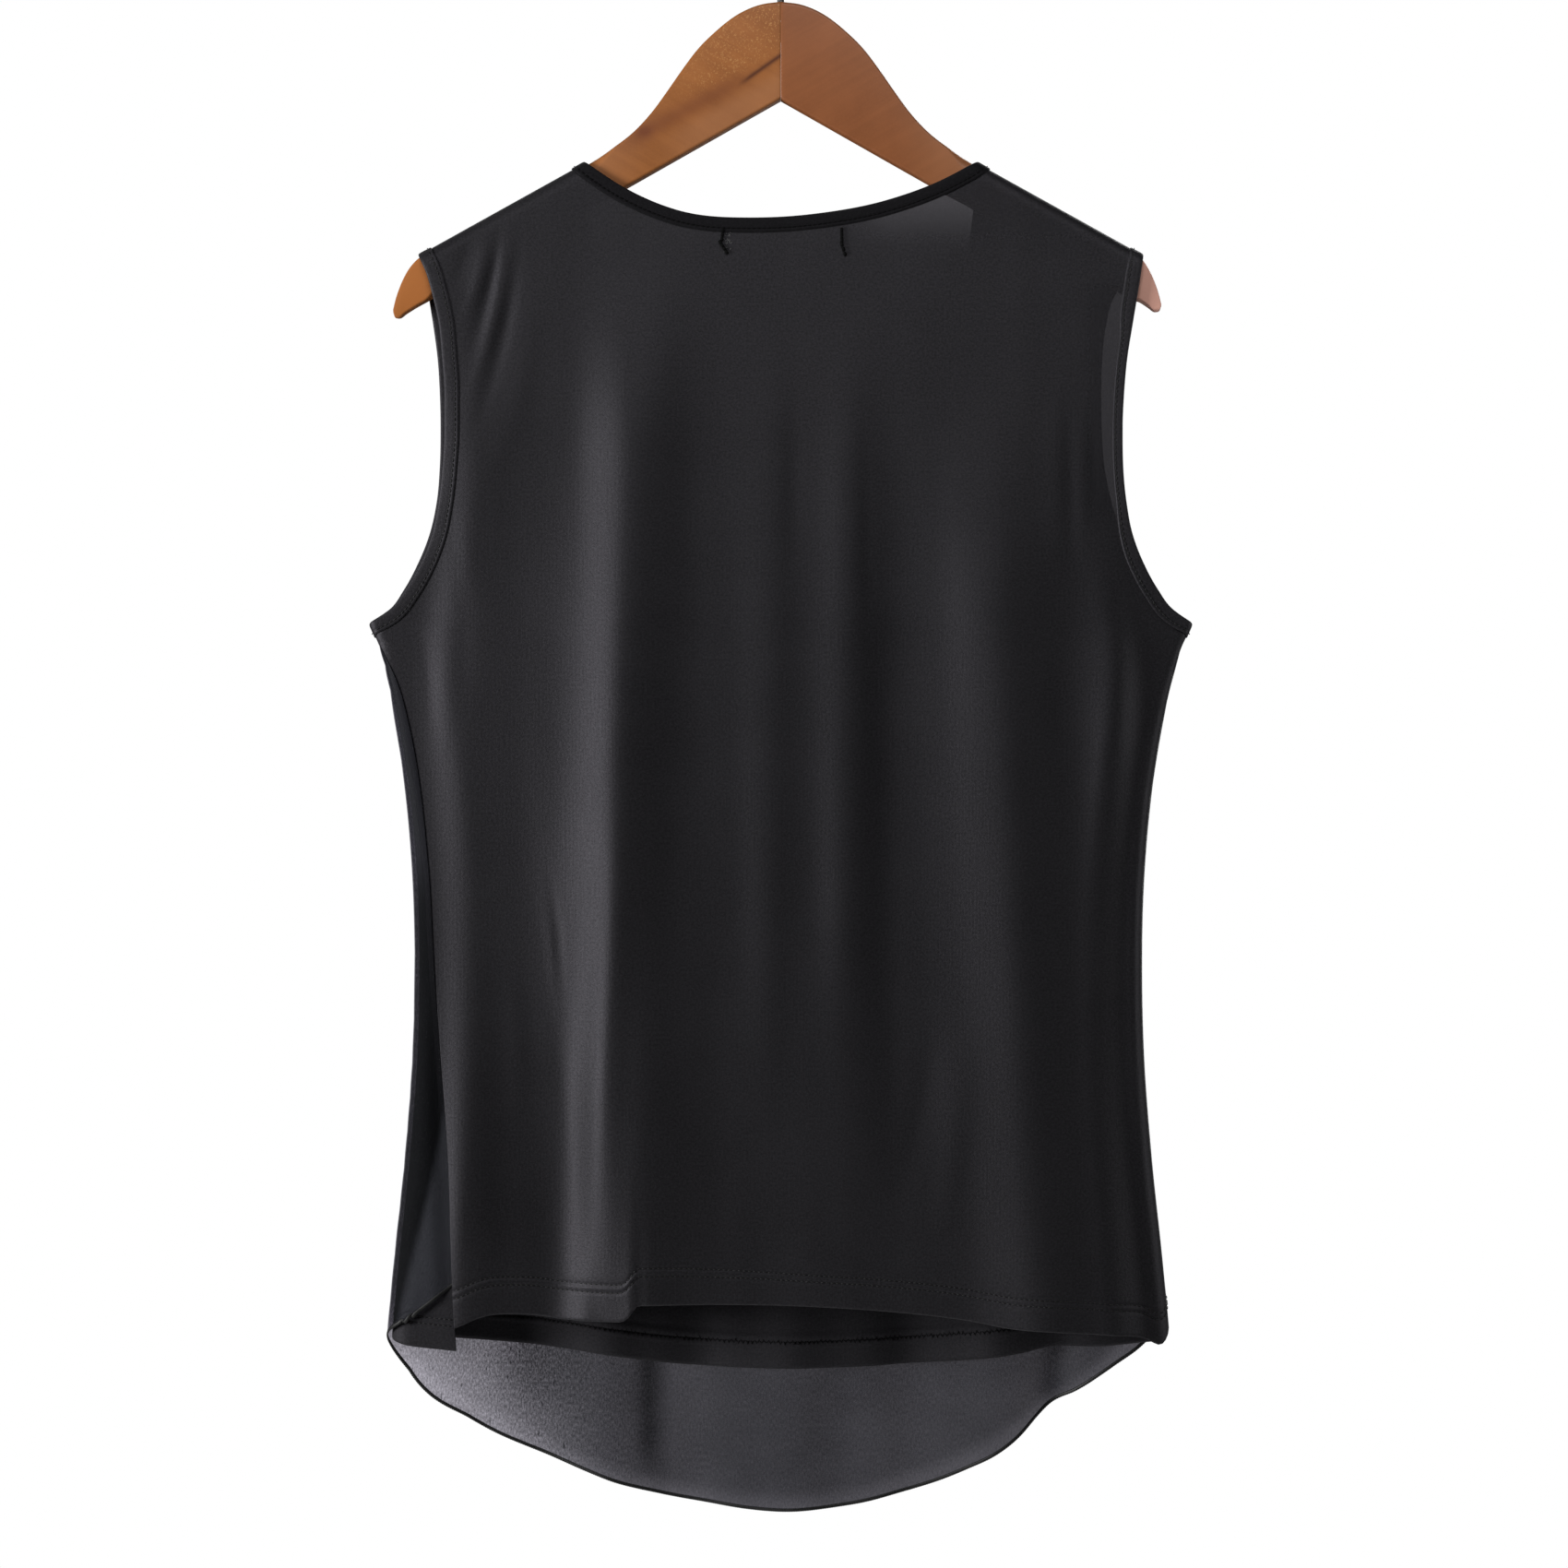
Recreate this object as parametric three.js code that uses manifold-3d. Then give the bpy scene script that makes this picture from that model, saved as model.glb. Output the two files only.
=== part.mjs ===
// A sleeveless blouse on a wooden hanger. The garment is a jersey back, a jersey front with a longer chiffon
// overlay over it, a neck binding and two armhole bindings. The hanger is two halves of wood and a wire hook.
//
// Millimetres, +Z up. The origin is where a rail touches the hook, the blouse's back faces -Y, and "left" is -X.
// "down" is a distance below the neck level, where the bindings cross the tops of the hanger's arms.
import * as THREE from 'three';
import Module from 'manifold-3d';
import { mergeVertices } from 'three/addons/utils/BufferGeometryUtils.js';

const BACK = -1;
const FRONT = 1;
const LEFT = -1;
const RIGHT = 1;

const NECK_LEVEL = -166; // height of the neck level under the rail
const SEAM_GAP = 0.3; // between two pieces that are sewn together

const JERSEY = 1.4; // wall of a jersey panel
const CHIFFON = 1.0; // wall of the overlay
// The overlay is looser round the sides and near its hem.
const OVERLAY_EASE = { extra: 1.6, acrossFrom: 170, acrossTo: 205, underarm: 60, downFrom: 470, downTo: 600 };
const SIDE_FADE = 0.13; // share of the body's half width in which the folds run out
const TURNED_HEM = { width: 20, extra: 1.0, step: 1 }; // the cloth turned up inside a hem
const BINDING = { width: 8.5, thickness: 2.2, proud: 0.35, fold: 0.8, edge: 0.45 };

// The tops of the shoulders run straight, from the neck outwards and down. The cloth rolls over the arm there.
const SHOULDER = { start: 121, down: 5.7, slope: 0.558, roll: 7.2 };
const SHOULDER_COS = 1 / Math.hypot(1, SHOULDER.slope);

const HANGER = { halfThickness: 6, tipHalfThickness: 4.2, thinFrom: 190, under: -36, underSlope: 0.568, gap: 1.4 };
// The arms' rounded edges, which take at most a share of half the arm.
const HANGER_CORNER = { across: 5.6, down: 7.5, share: 0.92 };
const HOOK = { wire: 2, bend: 24, bendStart: 214, tip: -34, lean: 13, shankTop: -64, shankFoot: -97, boreGap: 0.35 };

// The opening's edge at an armhole, the same on both sides. The last row is the underarm, on the body's very side.
const ARMHOLE = [
  { down: 52, out: 204 },
  { down: 75, out: 196 },
  { down: 110, out: 191.5 },
  { down: 145, out: 190.5 },
  { down: 185, out: 192.5 },
  { down: 212, out: 197 },
  { down: 236, out: 208.5 },
  { down: 251, out: 220 },
  { down: 259, out: 232.4 },
];
// The front hangs a little to the left of the back, most of all half way down the armholes.
const FRONT_SHIFT = { left: 5, right: -9 };

// The sides of the body, the radius they turn with, how deep the middle bulges and how far out the bulge reaches.
// Above the underarm "out" is only a guide that lies outside the armhole.
const SIDES = [
  { down: 0, out: 320, radius: 7.2, middle: 7.6, bulge: 204 },
  { down: 90, out: 300, radius: 7.2, middle: 8.6, bulge: 196 },
  { down: 180, out: 280, radius: 6, middle: 11, bulge: 194 },
  { down: 230, out: 250, radius: 3.8, middle: 13, bulge: 201 },
  { down: 259, out: 231, radius: 2.4, middle: 14, bulge: 207 },
  { down: 270, out: 226.5, radius: 2.6, middle: 14, bulge: 209 },
  { down: 290, out: 220.5, radius: 3.6, middle: 14.5, bulge: 210 },
  { down: 315, out: 215, radius: 4.8, middle: 15, bulge: 208 },
  { down: 345, out: 210, radius: 6, middle: 15.5, bulge: 203.5 },
  { down: 400, out: 204.6, radius: 7.2, middle: 16, bulge: 197.4 },
  { down: 450, out: 203.3, radius: 7.8, middle: 16.5, bulge: 195.5 },
  { down: 500, out: 204.3, radius: 8.2, middle: 17, bulge: 196 },
  { down: 560, out: 208.7, radius: 8.8, middle: 17, bulge: 199.9 },
  { down: 620, out: 215, radius: 9.3, middle: 17, bulge: 205.7 },
  { down: 665, out: 219, radius: 9.5, middle: 17, bulge: 209.5 },
  { down: 765, out: 221, radius: 9.5, middle: 16, bulge: 211.5 },
];
// How far the side seams lie in from the side, on the back.
const SEAMS = [
  { down: 267.5, left: 0, right: 0 },
  { down: 300, left: 5, right: 4 },
  { down: 400, left: 7, right: 6 },
  { down: 440, left: 8, right: 7 },
  { down: 500, left: 13, right: 8.5 },
  { down: 560, left: 22, right: 9 },
  { down: 610, left: 29, right: 7 },
  { down: 660, left: 36, right: 5 },
];
const UNDERARM = 267.5; // where the side seams start, under the bindings
const FOLD_END = 680; // where a fold's line reaches its foot

const BACK_NECK = [
  { across: -110, down: -0.4 },
  { across: -89, down: 13.5 },
  { across: -59, down: 26.5 },
  { across: -16, down: 31 },
  { across: 18, down: 29 },
  { across: 60, down: 21 },
  { across: 87, down: 11.4 },
  { across: 110, down: -0.4 },
];
const FRONT_NECK = { halfWidth: 110, top: -0.4, depth: 172 }; // half an ellipse
const NECK_ROLL_END = { back: 0.352, front: 0.048 }; // angle along the opening where the roll over the shoulder ends
const NECK_TURN = 0.45; // angle along the opening within which the binding turns to lie along the shoulder
const ARMHOLE_TURN = { shoulder: 14, underarm: 9 }; // the same at an armhole's two ends, as distances down

// The hems. "across" follows the cloth round the side, so it passes the side's own distance.
const BACK_HEM = [
  { across: -186, down: 656 },
  { across: -179, down: 653 },
  { across: -168, down: 648.5 },
  { across: -158, down: 647 },
  { across: -140, down: 648 },
  { across: -121, down: 650 },
  { across: -95, down: 650.5 },
  { across: -88, down: 648.5 },
  { across: -80, down: 643 },
  { across: -70, down: 641.2 },
  { across: -53, down: 641 },
  { across: 11, down: 642 },
  { across: 59, down: 645 },
  { across: 104, down: 650 },
  { across: 127, down: 654 },
  { across: 155, down: 656 },
  { across: 183, down: 658 },
  { across: 206, down: 660 },
  { across: 226, down: 664 },
];
const FRONT_HEM = [
  { across: -262, down: 667.5 },
  { across: -240, down: 665 },
  { across: -222, down: 661.5 },
  { across: -184, down: 663 },
  { across: -121, down: 670 },
  { across: -51, down: 679.5 },
  { across: 4, down: 681 },
  { across: 59, down: 679.5 },
  { across: 137, down: 672 },
  { across: 156, down: 668.3 },
  { across: 179, down: 668 },
  { across: 210, down: 665 },
  { across: 234, down: 664 },
];
const OVERLAY_HEM = [
  { across: -258, down: 631 },
  { across: -240, down: 647 },
  { across: -221, down: 664 },
  { across: -207, down: 686 },
  { across: -175, down: 709 },
  { across: -137, down: 728 },
  { across: -93, down: 745 },
  { across: -49, down: 756 },
  { across: 2, down: 761.6 },
  { across: 51, down: 756 },
  { across: 104, down: 738 },
  { across: 145, down: 710 },
  { across: 161, down: 697 },
  { across: 189, down: 678 },
  { across: 204, down: 667 },
  { across: 232, down: 631 },
];

// The largest folds: where each starts and ends, how far it stands out (or in, below zero), and its two flanks.
const BACK_FOLDS = [
  { name: 'pipe', top: -80, foot: -98, from: 50, to: 900, ease: 200, rise: 11, left: 25, right: 34 },
  { name: 'pipe crest', top: -84, foot: -99, from: 80, to: 900, ease: 260, rise: 1.8, left: 12, right: 7 },
  { name: 'centre left ridge', top: -5, foot: -7, from: 60, to: 560, ease: 150, rise: 1.9, left: 14, right: 11 },
  { name: 'centre right ridge', top: 38, foot: 35, from: 70, to: 520, ease: 120, rise: 3.2, left: 14, right: 14 },
  { name: 'centre valley', top: 68, foot: 68, from: 100, to: 640, ease: 140, rise: -3, left: 17, right: 24 },
  { name: 'broad ridge', top: 115, foot: 150, from: 110, to: 900, ease: 170, rise: 8, left: 30, right: 25 },
  { name: 'right valley', top: 141, foot: 205, from: 110, to: 900, ease: 150, rise: -2.6, left: 18, right: 16 },
  { name: 'left valley', top: -150, foot: -126, from: 300, to: 900, ease: 260, rise: -8, left: 38, right: 17 },
  { name: 'left ridge', top: -176, foot: -190, from: 70, to: 900, ease: 110, rise: 3.5, left: 20, right: 24 },
];
const FRONT_FOLDS = [
  { name: 'left ridge', top: -128, foot: -138, from: 90, to: 900, ease: 180, rise: 5, left: 22, right: 17 },
  { name: 'left valley', top: -92, foot: -98, from: 120, to: 900, ease: 160, rise: -4, left: 16, right: 15 },
  { name: 'centre ridge', top: -38, foot: -46, from: 190, to: 900, ease: 160, rise: 5, left: 20, right: 18 },
  { name: 'centre valley', top: 8, foot: 6, from: 200, to: 900, ease: 170, rise: -3.5, left: 18, right: 18 },
  { name: 'right ridge', top: 66, foot: 74, from: 170, to: 900, ease: 150, rise: 5, left: 18, right: 22 },
  { name: 'right valley', top: 116, foot: 122, from: 110, to: 900, ease: 160, rise: -4, left: 15, right: 17 },
  { name: 'side ridge', top: 150, foot: 160, from: 90, to: 900, ease: 200, rise: 3.5, left: 16, right: 14 },
];
// The overlay stands off the front where it falls in folds of its own, most of all under the front's hem.
const OVERLAY_FOLDS = [
  { name: 'hem fold left', top: -160, foot: -168, from: 300, to: 900, ease: 260, rise: 4, left: 14, right: 13 },
  { name: 'hem fold middle', top: -70, foot: -66, from: 260, to: 900, ease: 300, rise: 5, left: 12, right: 16 },
  { name: 'hem fold right', top: 30, foot: 34, from: 280, to: 900, ease: 300, rise: 4, left: 15, right: 13 },
  { name: 'side fold', top: 128, foot: 153, from: 300, to: 900, ease: 260, rise: 6, left: 12, right: 11 },
];

// The hanger's top edge: the hump in the middle, then the tips. Between them it is straight, under the cloth.
const HANGER_HUMP = [
  { out: 0, down: -91 },
  { out: 12, down: -89.2 },
  { out: 24, down: -84 },
  { out: 37, down: -74 },
  { out: 47, down: -64 },
  { out: 56, down: -52 },
  { out: 64, down: -40.5 },
  { out: 72, down: -29.5 },
  { out: 82, down: -18.5 },
  { out: 94, down: -9 },
];
const HANGER_ARM = [107, 135, 165, 190, 198];
const HANGER_TIP = [
  { out: 206, top: 55.2, under: 81 },
  { out: 211, top: 61.8, under: 84.2 },
  { out: 215, top: 70.5, under: 86.8 },
  { out: 217.4, top: 78, under: 86.4 },
  { out: 218.2, top: 81.5, under: 84.2 },
];

// How finely each piece is divided. The armhole's list says how far down the opening's edge has a station.
const SHOULDER_COLUMNS = 7;
const SHOULDER_CROWDING = 1.2; // power of the columns' spacing, closer towards the armhole
const SIDE_CROWDING = 0.03;
const NECK_STEPS = { back: 24, front: 22, roll: 4 };
const ARMHOLE_STATIONS = [52, 52.6, 54.2, 56.5, 59.2, 80, 103, 128, 154, 180, 204, 223, 238, 249, 256, 259];
const SIDE_ROWS = [287, 312, 350, 410, 480, 560];
const LAST_SIDE_ROW = SIDE_ROWS[SIDE_ROWS.length - 1];
const LOW_ROWS = 2;
const HEM_ROUNDS = 12; // how often a column's foot is set again on the hem, whose "across" depends on it
const CORNER_POINTS = 4;
const HOOK_STEPS = 38;
const BEND_STEPS = 20;
const WIRE_SIDES = 8;

const COLOURS = {
  jersey: { color: 0x2b2b2d, roughness: 0.55, metalness: 0 },
  binding: { color: 0x1b1c1e, roughness: 0.7, metalness: 0 },
  chiffon: { color: 0x47474c, roughness: 0.6, metalness: 0 },
  wood: { color: 0xa2622f, roughness: 0.45, metalness: 0 },
  steel: { color: 0xc4c6c8, roughness: 0.22, metalness: 1 },
};

// ---- helpers -------------------------------------------------------------------------------------------------

const { clamp, lerp, smoothstep } = THREE.MathUtils;

/** A smooth curve through a table's rows, with no overshoot, as a function of the column named x. */
function through(rows, x, y) {
  const xs = rows.map((row) => row[x]);
  const ys = rows.map((row) => row[y]);
  const widths = xs.slice(1).map((value, i) => value - xs[i]);
  const steps = widths.map((width, i) => (ys[i + 1] - ys[i]) / width);
  const slopes = xs.map((_, i) => {
    const before = steps[i - 1] ?? steps[i];
    const after = steps[i] ?? steps[i - 1];
    if (before * after <= 0) return 0;
    const share = (widths[i] ?? 1) / ((widths[i - 1] ?? 1) + (widths[i] ?? 1));
    const steepest = 3 * Math.min(Math.abs(before), Math.abs(after));
    return clamp(lerp(after, before, share), -steepest, steepest);
  });
  const last = xs.length - 1;
  return (at) => {
    if (at <= xs[0]) return ys[0] + slopes[0] * (at - xs[0]);
    if (at >= xs[last]) return ys[last] + slopes[last] * (at - xs[last]);
    const i = xs.findIndex((value) => value > at) - 1;
    const width = xs[i + 1] - xs[i];
    const t = (at - xs[i]) / width;
    const level = (1 + 2 * t) * (1 - t) ** 2 * ys[i] + t * t * (3 - 2 * t) * ys[i + 1];
    return level + width * (t * (1 - t) ** 2 * slopes[i] - t * t * (1 - t) * slopes[i + 1]);
  };
}

/** Turns a closed geometry's triangles round if they face inwards. */
function facingOut(geometry) {
  const at = geometry.getAttribute('position');
  const index = geometry.getIndex();
  const corner = [0, 1, 2].map(() => new THREE.Vector3());
  let volume = 0;
  for (let i = 0; i < index.count; i += 3) {
    corner.forEach((point, k) => point.fromBufferAttribute(at, index.getX(i + k)));
    volume += corner[0].dot(corner[1].clone().cross(corner[2]));
  }
  if (volume < 0) {
    for (let i = 0; i < index.count; i += 3) {
      const second = index.getX(i + 1);
      index.setX(i + 1, index.getX(i + 2));
      index.setX(i + 2, second);
    }
  }
  geometry.computeVertexNormals();
  return geometry;
}

function geometryFrom(points, index) {
  const geometry = new THREE.BufferGeometry();
  geometry.setAttribute('position', new THREE.Float32BufferAttribute(points.flatMap((p) => [p.x, p.y, p.z]), 3));
  geometry.setIndex(index);
  return facingOut(geometry);
}

/** A closed wall between a grid of outer points and the grid of inner points behind it. */
function closedWall(outer, inner) {
  const rows = outer.length;
  const columns = outer[0].length;
  const behind = rows * columns;
  const index = [];
  const quad = (a, b, c, d) => index.push(a, b, c, a, c, d);
  for (let i = 0; i < rows - 1; i += 1) {
    for (let j = 0; j < columns - 1; j += 1) {
      const a = i * columns + j;
      quad(a, a + columns, a + columns + 1, a + 1);
      quad(behind + a, behind + a + 1, behind + a + columns + 1, behind + a + columns);
    }
    const first = i * columns;
    const last = first + columns - 1;
    quad(first, behind + first, behind + first + columns, first + columns);
    quad(last, last + columns, behind + last + columns, behind + last);
  }
  for (let j = 0; j < columns - 1; j += 1) {
    const foot = (rows - 1) * columns + j;
    quad(j, j + 1, behind + j + 1, behind + j);
    quad(foot, behind + foot, behind + foot + 1, foot + 1);
  }
  return geometryFrom([...outer.flat(), ...inner.flat()], index);
}

/** A skin over equal sections one after another. It closes on itself as a ring, or else has a flat face at each end. */
function loft(sections, ring) {
  const sides = sections[0].length;
  const count = sections.length;
  const index = [];
  for (let k = 0; k < (ring ? count : count - 1); k += 1) {
    for (let s = 0; s < sides; s += 1) {
      const a = k * sides + s;
      const b = k * sides + ((s + 1) % sides);
      const c = ((k + 1) % count) * sides + ((s + 1) % sides);
      const d = ((k + 1) % count) * sides + s;
      index.push(a, b, c, a, c, d);
    }
  }
  for (let s = 1; !ring && s < sides - 1; s += 1) {
    const end = (count - 1) * sides;
    index.push(0, s + 1, s, end, end + s, end + s + 1);
  }
  return geometryFrom(sections.flat(), index);
}

// ---- the body's surface --------------------------------------------------------------------------------------

const armholeOut = through(ARMHOLE, 'down', 'out');
const sideOut = through(SIDES, 'down', 'out');
const sideRadius = through(SIDES, 'down', 'radius');
const middleDepth = through(SIDES, 'down', 'middle');
const bulgeOut = through(SIDES, 'down', 'bulge');
const seamIn = { [LEFT]: through(SEAMS, 'down', 'left'), [RIGHT]: through(SEAMS, 'down', 'right') };
const backNeckDown = through(BACK_NECK, 'across', 'down');
const backHem = through(BACK_HEM, 'across', 'down');
const frontHem = through(FRONT_HEM, 'across', 'down');
const overlayHem = through(OVERLAY_HEM, 'across', 'down');

const shoulderTop = (across) => SHOULDER.down + (Math.abs(across) - SHOULDER.start) * SHOULDER.slope;

/** How far one fold moves the cloth out: a bell with two different flanks, that eases in and out on its way down. */
function foldAt(fold, across, down) {
  const middle = lerp(fold.top, fold.foot, clamp((down - fold.from) / (FOLD_END - fold.from), 0, 1));
  const flank = across < middle ? fold.left : fold.right;
  const easeIn = smoothstep(down, fold.from, fold.from + fold.ease);
  const easeOut = 1 - smoothstep(down, fold.to - fold.ease, fold.to);
  return fold.rise * easeIn * easeOut * Math.exp(-(((across - middle) / flank) ** 2));
}

const foldsAt = (folds, across, down) => folds.reduce((sum, fold) => sum + foldAt(fold, across, down), 0);

/** 1 well inside the body, and 0 at its sides, where the folds run out. */
const insideSides = (across, down) => smoothstep(1 - Math.abs(across) / bulgeOut(down), 0, SIDE_FADE);

/**
 * A point of the garment's surface. "across" is x on the flat part, and past it goes round the side's radius and
 * on over the other side. The flat part bulges towards the middle and carries the folds. At the shoulders the
 * surface rolls over the hanger's arms, a quarter of a circle.
 */
function bodyPoint(side, across, down) {
  const radius = sideRadius(down);
  const flat = sideOut(down) - radius;
  const past = Math.abs(across) - flat;
  let x = across;
  let depth = radius;
  if (past > 0) {
    const turn = Math.min(past / radius, Math.PI);
    x = Math.sign(across) * (flat + radius * Math.sin(turn) - Math.max(past - Math.PI * radius, 0));
    depth = radius * Math.cos(turn);
  } else {
    const from = Math.min(Math.abs(across) / bulgeOut(down), 1);
    const folds = side === BACK ? BACK_FOLDS : FRONT_FOLDS;
    depth += (middleDepth(down) - radius) * (1 - from ** 4) ** 2;
    depth += foldsAt(folds, across, down) * insideSides(across, down);
  }
  const below = ((down - shoulderTop(x)) * SHOULDER_COS) / SHOULDER.roll;
  if (below < 1) {
    const rolled = Math.sqrt(1 - (1 - clamp(below, 0, 1)) ** 2);
    depth = Math.max(depth * rolled, SEAM_GAP / 2);
  }
  return new THREE.Vector3(x, side * depth, NECK_LEVEL - down);
}

/** The outward direction of a surface at "across" and "down", from the points close by. It is upright at a seam. */
function outwards(surface, side, across, down) {
  const step = 0.3;
  const alongAcross = surface(across + step, down).sub(surface(across - step, down));
  const alongDown = surface(across, down + step).sub(surface(across, down - step));
  const out = alongAcross.cross(alongDown).multiplyScalar(side);
  if (down < shoulderTop(across) + 0.1) out.y = 0;
  return out.normalize();
}

const backSurface = (across, down) => bodyPoint(BACK, across, down);
const frontSurface = (across, down) => bodyPoint(FRONT, across, down);

/** The overlay lies on the front. It stands off it in folds of its own, round the sides and near the hem. */
function overlaySurface(across, down) {
  const drape = foldsAt(OVERLAY_FOLDS, across, down) * insideSides(across, down);
  const ease = OVERLAY_EASE;
  const roundSides = smoothstep(Math.abs(across), ease.acrossFrom, ease.acrossTo);
  const underArms = smoothstep(down, UNDERARM, UNDERARM + ease.underarm);
  const loose = Math.max(roundSides * underArms, smoothstep(down, ease.downFrom, ease.downTo));
  const off = JERSEY / 2 + SEAM_GAP + CHIFFON / 2 + drape + ease.extra * loose;
  return frontSurface(across, down).addScaledVector(outwards(frontSurface, FRONT, across, down), off);
}

// ---- edges ---------------------------------------------------------------------------------------------------
// A station of an opening's edge has a point of the edge and the direction that leads away from the opening, both
// as (across, down). The binding lies between the edge and "BINDING.width" along it, and the panels start after it.

const station = (edge, away) => ({
  edge,
  away,
  panel: edge.clone().addScaledVector(away, BINDING.width + SEAM_GAP),
});

const shoulderDirection = (hand) => new THREE.Vector2(hand * SHOULDER_COS, SHOULDER.slope * SHOULDER_COS);

/** The neck's stations from left to right. They are close together at the neck points, where the cloth rolls. */
function neckStations(side) {
  const steps = side === BACK ? NECK_STEPS.back : NECK_STEPS.front;
  const edgeAt = (angle) => {
    const across = -FRONT_NECK.halfWidth * Math.cos(angle);
    const down = side === BACK ? backNeckDown(across) : FRONT_NECK.top + FRONT_NECK.depth * Math.sin(angle);
    return new THREE.Vector2(across, down);
  };
  const rollEnd = side === BACK ? NECK_ROLL_END.back : NECK_ROLL_END.front;
  const roll = Array.from({ length: NECK_STEPS.roll }, (_, k) => {
    const share = 1 - Math.cos(((k / NECK_STEPS.roll) * Math.PI) / 2);
    return side === BACK ? rollEnd * Math.sqrt(share) : rollEnd * share;
  });
  const middle = Array.from({ length: steps + 1 }, (_, k) => lerp(rollEnd, Math.PI - rollEnd, k / steps));
  const angles = [...roll, ...middle, ...roll.map((angle) => Math.PI - angle).reverse()];
  return angles.map((angle) => {
    const tangent = edgeAt(angle + 0.01).sub(edgeAt(angle - 0.01));
    const away = new THREE.Vector2(-tangent.y, tangent.x).normalize();
    const fromPoint = Math.min(angle, Math.PI - angle);
    const hand = angle < Math.PI / 2 ? LEFT : RIGHT;
    away.lerp(shoulderDirection(hand), 1 - smoothstep(fromPoint, 0, NECK_TURN)).normalize();
    return station(edgeAt(angle), away);
  });
}

/** An armhole's stations on one side of the body, from the shoulder down to the underarm. */
function armholeStations(side, hand) {
  const shift = side === BACK ? 0 : hand === LEFT ? FRONT_SHIFT.left : FRONT_SHIFT.right;
  const top = ARMHOLE_STATIONS[0];
  const end = ARMHOLE_STATIONS[ARMHOLE_STATIONS.length - 1];
  const outAt = (down) => armholeOut(down) + shift * Math.sin(Math.PI * clamp((down - top) / (end - top), 0, 1)) ** 2;
  return ARMHOLE_STATIONS.map((down) => {
    const slope = outAt(down + 0.5) - outAt(down - 0.5);
    const edge = new THREE.Vector2(hand * outAt(down), down);
    const away = new THREE.Vector2(-hand, slope).normalize();
    const upShoulder = new THREE.Vector2(-hand * SHOULDER_COS, -SHOULDER.slope * SHOULDER_COS);
    away.lerp(upShoulder, 1 - smoothstep(down, top, top + ARMHOLE_TURN.shoulder));
    const seamStart = new THREE.Vector2(hand * seamStartAcross, UNDERARM).sub(edge).normalize();
    away.normalize().lerp(seamStart, smoothstep(down, end - ARMHOLE_TURN.underarm, end)).normalize();
    return station(edge, away);
  });
}

/** The "across" of a side seam at one side of the cloth. It lies on the back, so the front goes round to it. */
function seamAcross(side, hand, down) {
  const radius = sideRadius(down);
  const flat = sideOut(down) - radius;
  const inwards = seamIn[hand](down);
  const turn = Math.asin(clamp(1 - inwards / radius, 0, 1));
  const beyond = Math.max(inwards - radius, 0);
  const onBack = flat + radius * turn - beyond;
  const onFront = flat + radius * (Math.PI - turn) + beyond;
  return hand * ((side === BACK ? onBack : onFront) - SEAM_GAP / 2);
}
const seamStartAcross = sideOut(UNDERARM) + sideRadius(UNDERARM) * (Math.PI / 2 - 1);

/** A column's "across" under the armholes, where "share" runs from 0 at the left seam to 1 at the right one. */
function columnAcross(side, share, down) {
  const at = Math.max(down, UNDERARM);
  return lerp(seamAcross(side, LEFT, at), seamAcross(side, RIGHT, at), share);
}

// ---- pieces --------------------------------------------------------------------------------------------------

/** Equal steps across a hem, a little shorter towards the sides, where the cloth turns. */
const hemShare = (t) => t - SIDE_CROWDING * Math.sin(2 * Math.PI * t);

/** The places of a panel's columns along its top edge: the left shoulder, the neck and the right shoulder. */
function topEdge(side, leftTip, rightTip) {
  const neck = neckStations(side).map((at) => at.panel);
  const shoulder = (tip, neckEnd) =>
    Array.from({ length: SHOULDER_COLUMNS }, (_, i) =>
      tip.clone().lerp(neckEnd, (i / SHOULDER_COLUMNS) ** SHOULDER_CROWDING),
    );
  return [...shoulder(leftTip, neck[0]), ...neck, ...shoulder(rightTip, neck[neck.length - 1]).reverse()];
}

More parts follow.
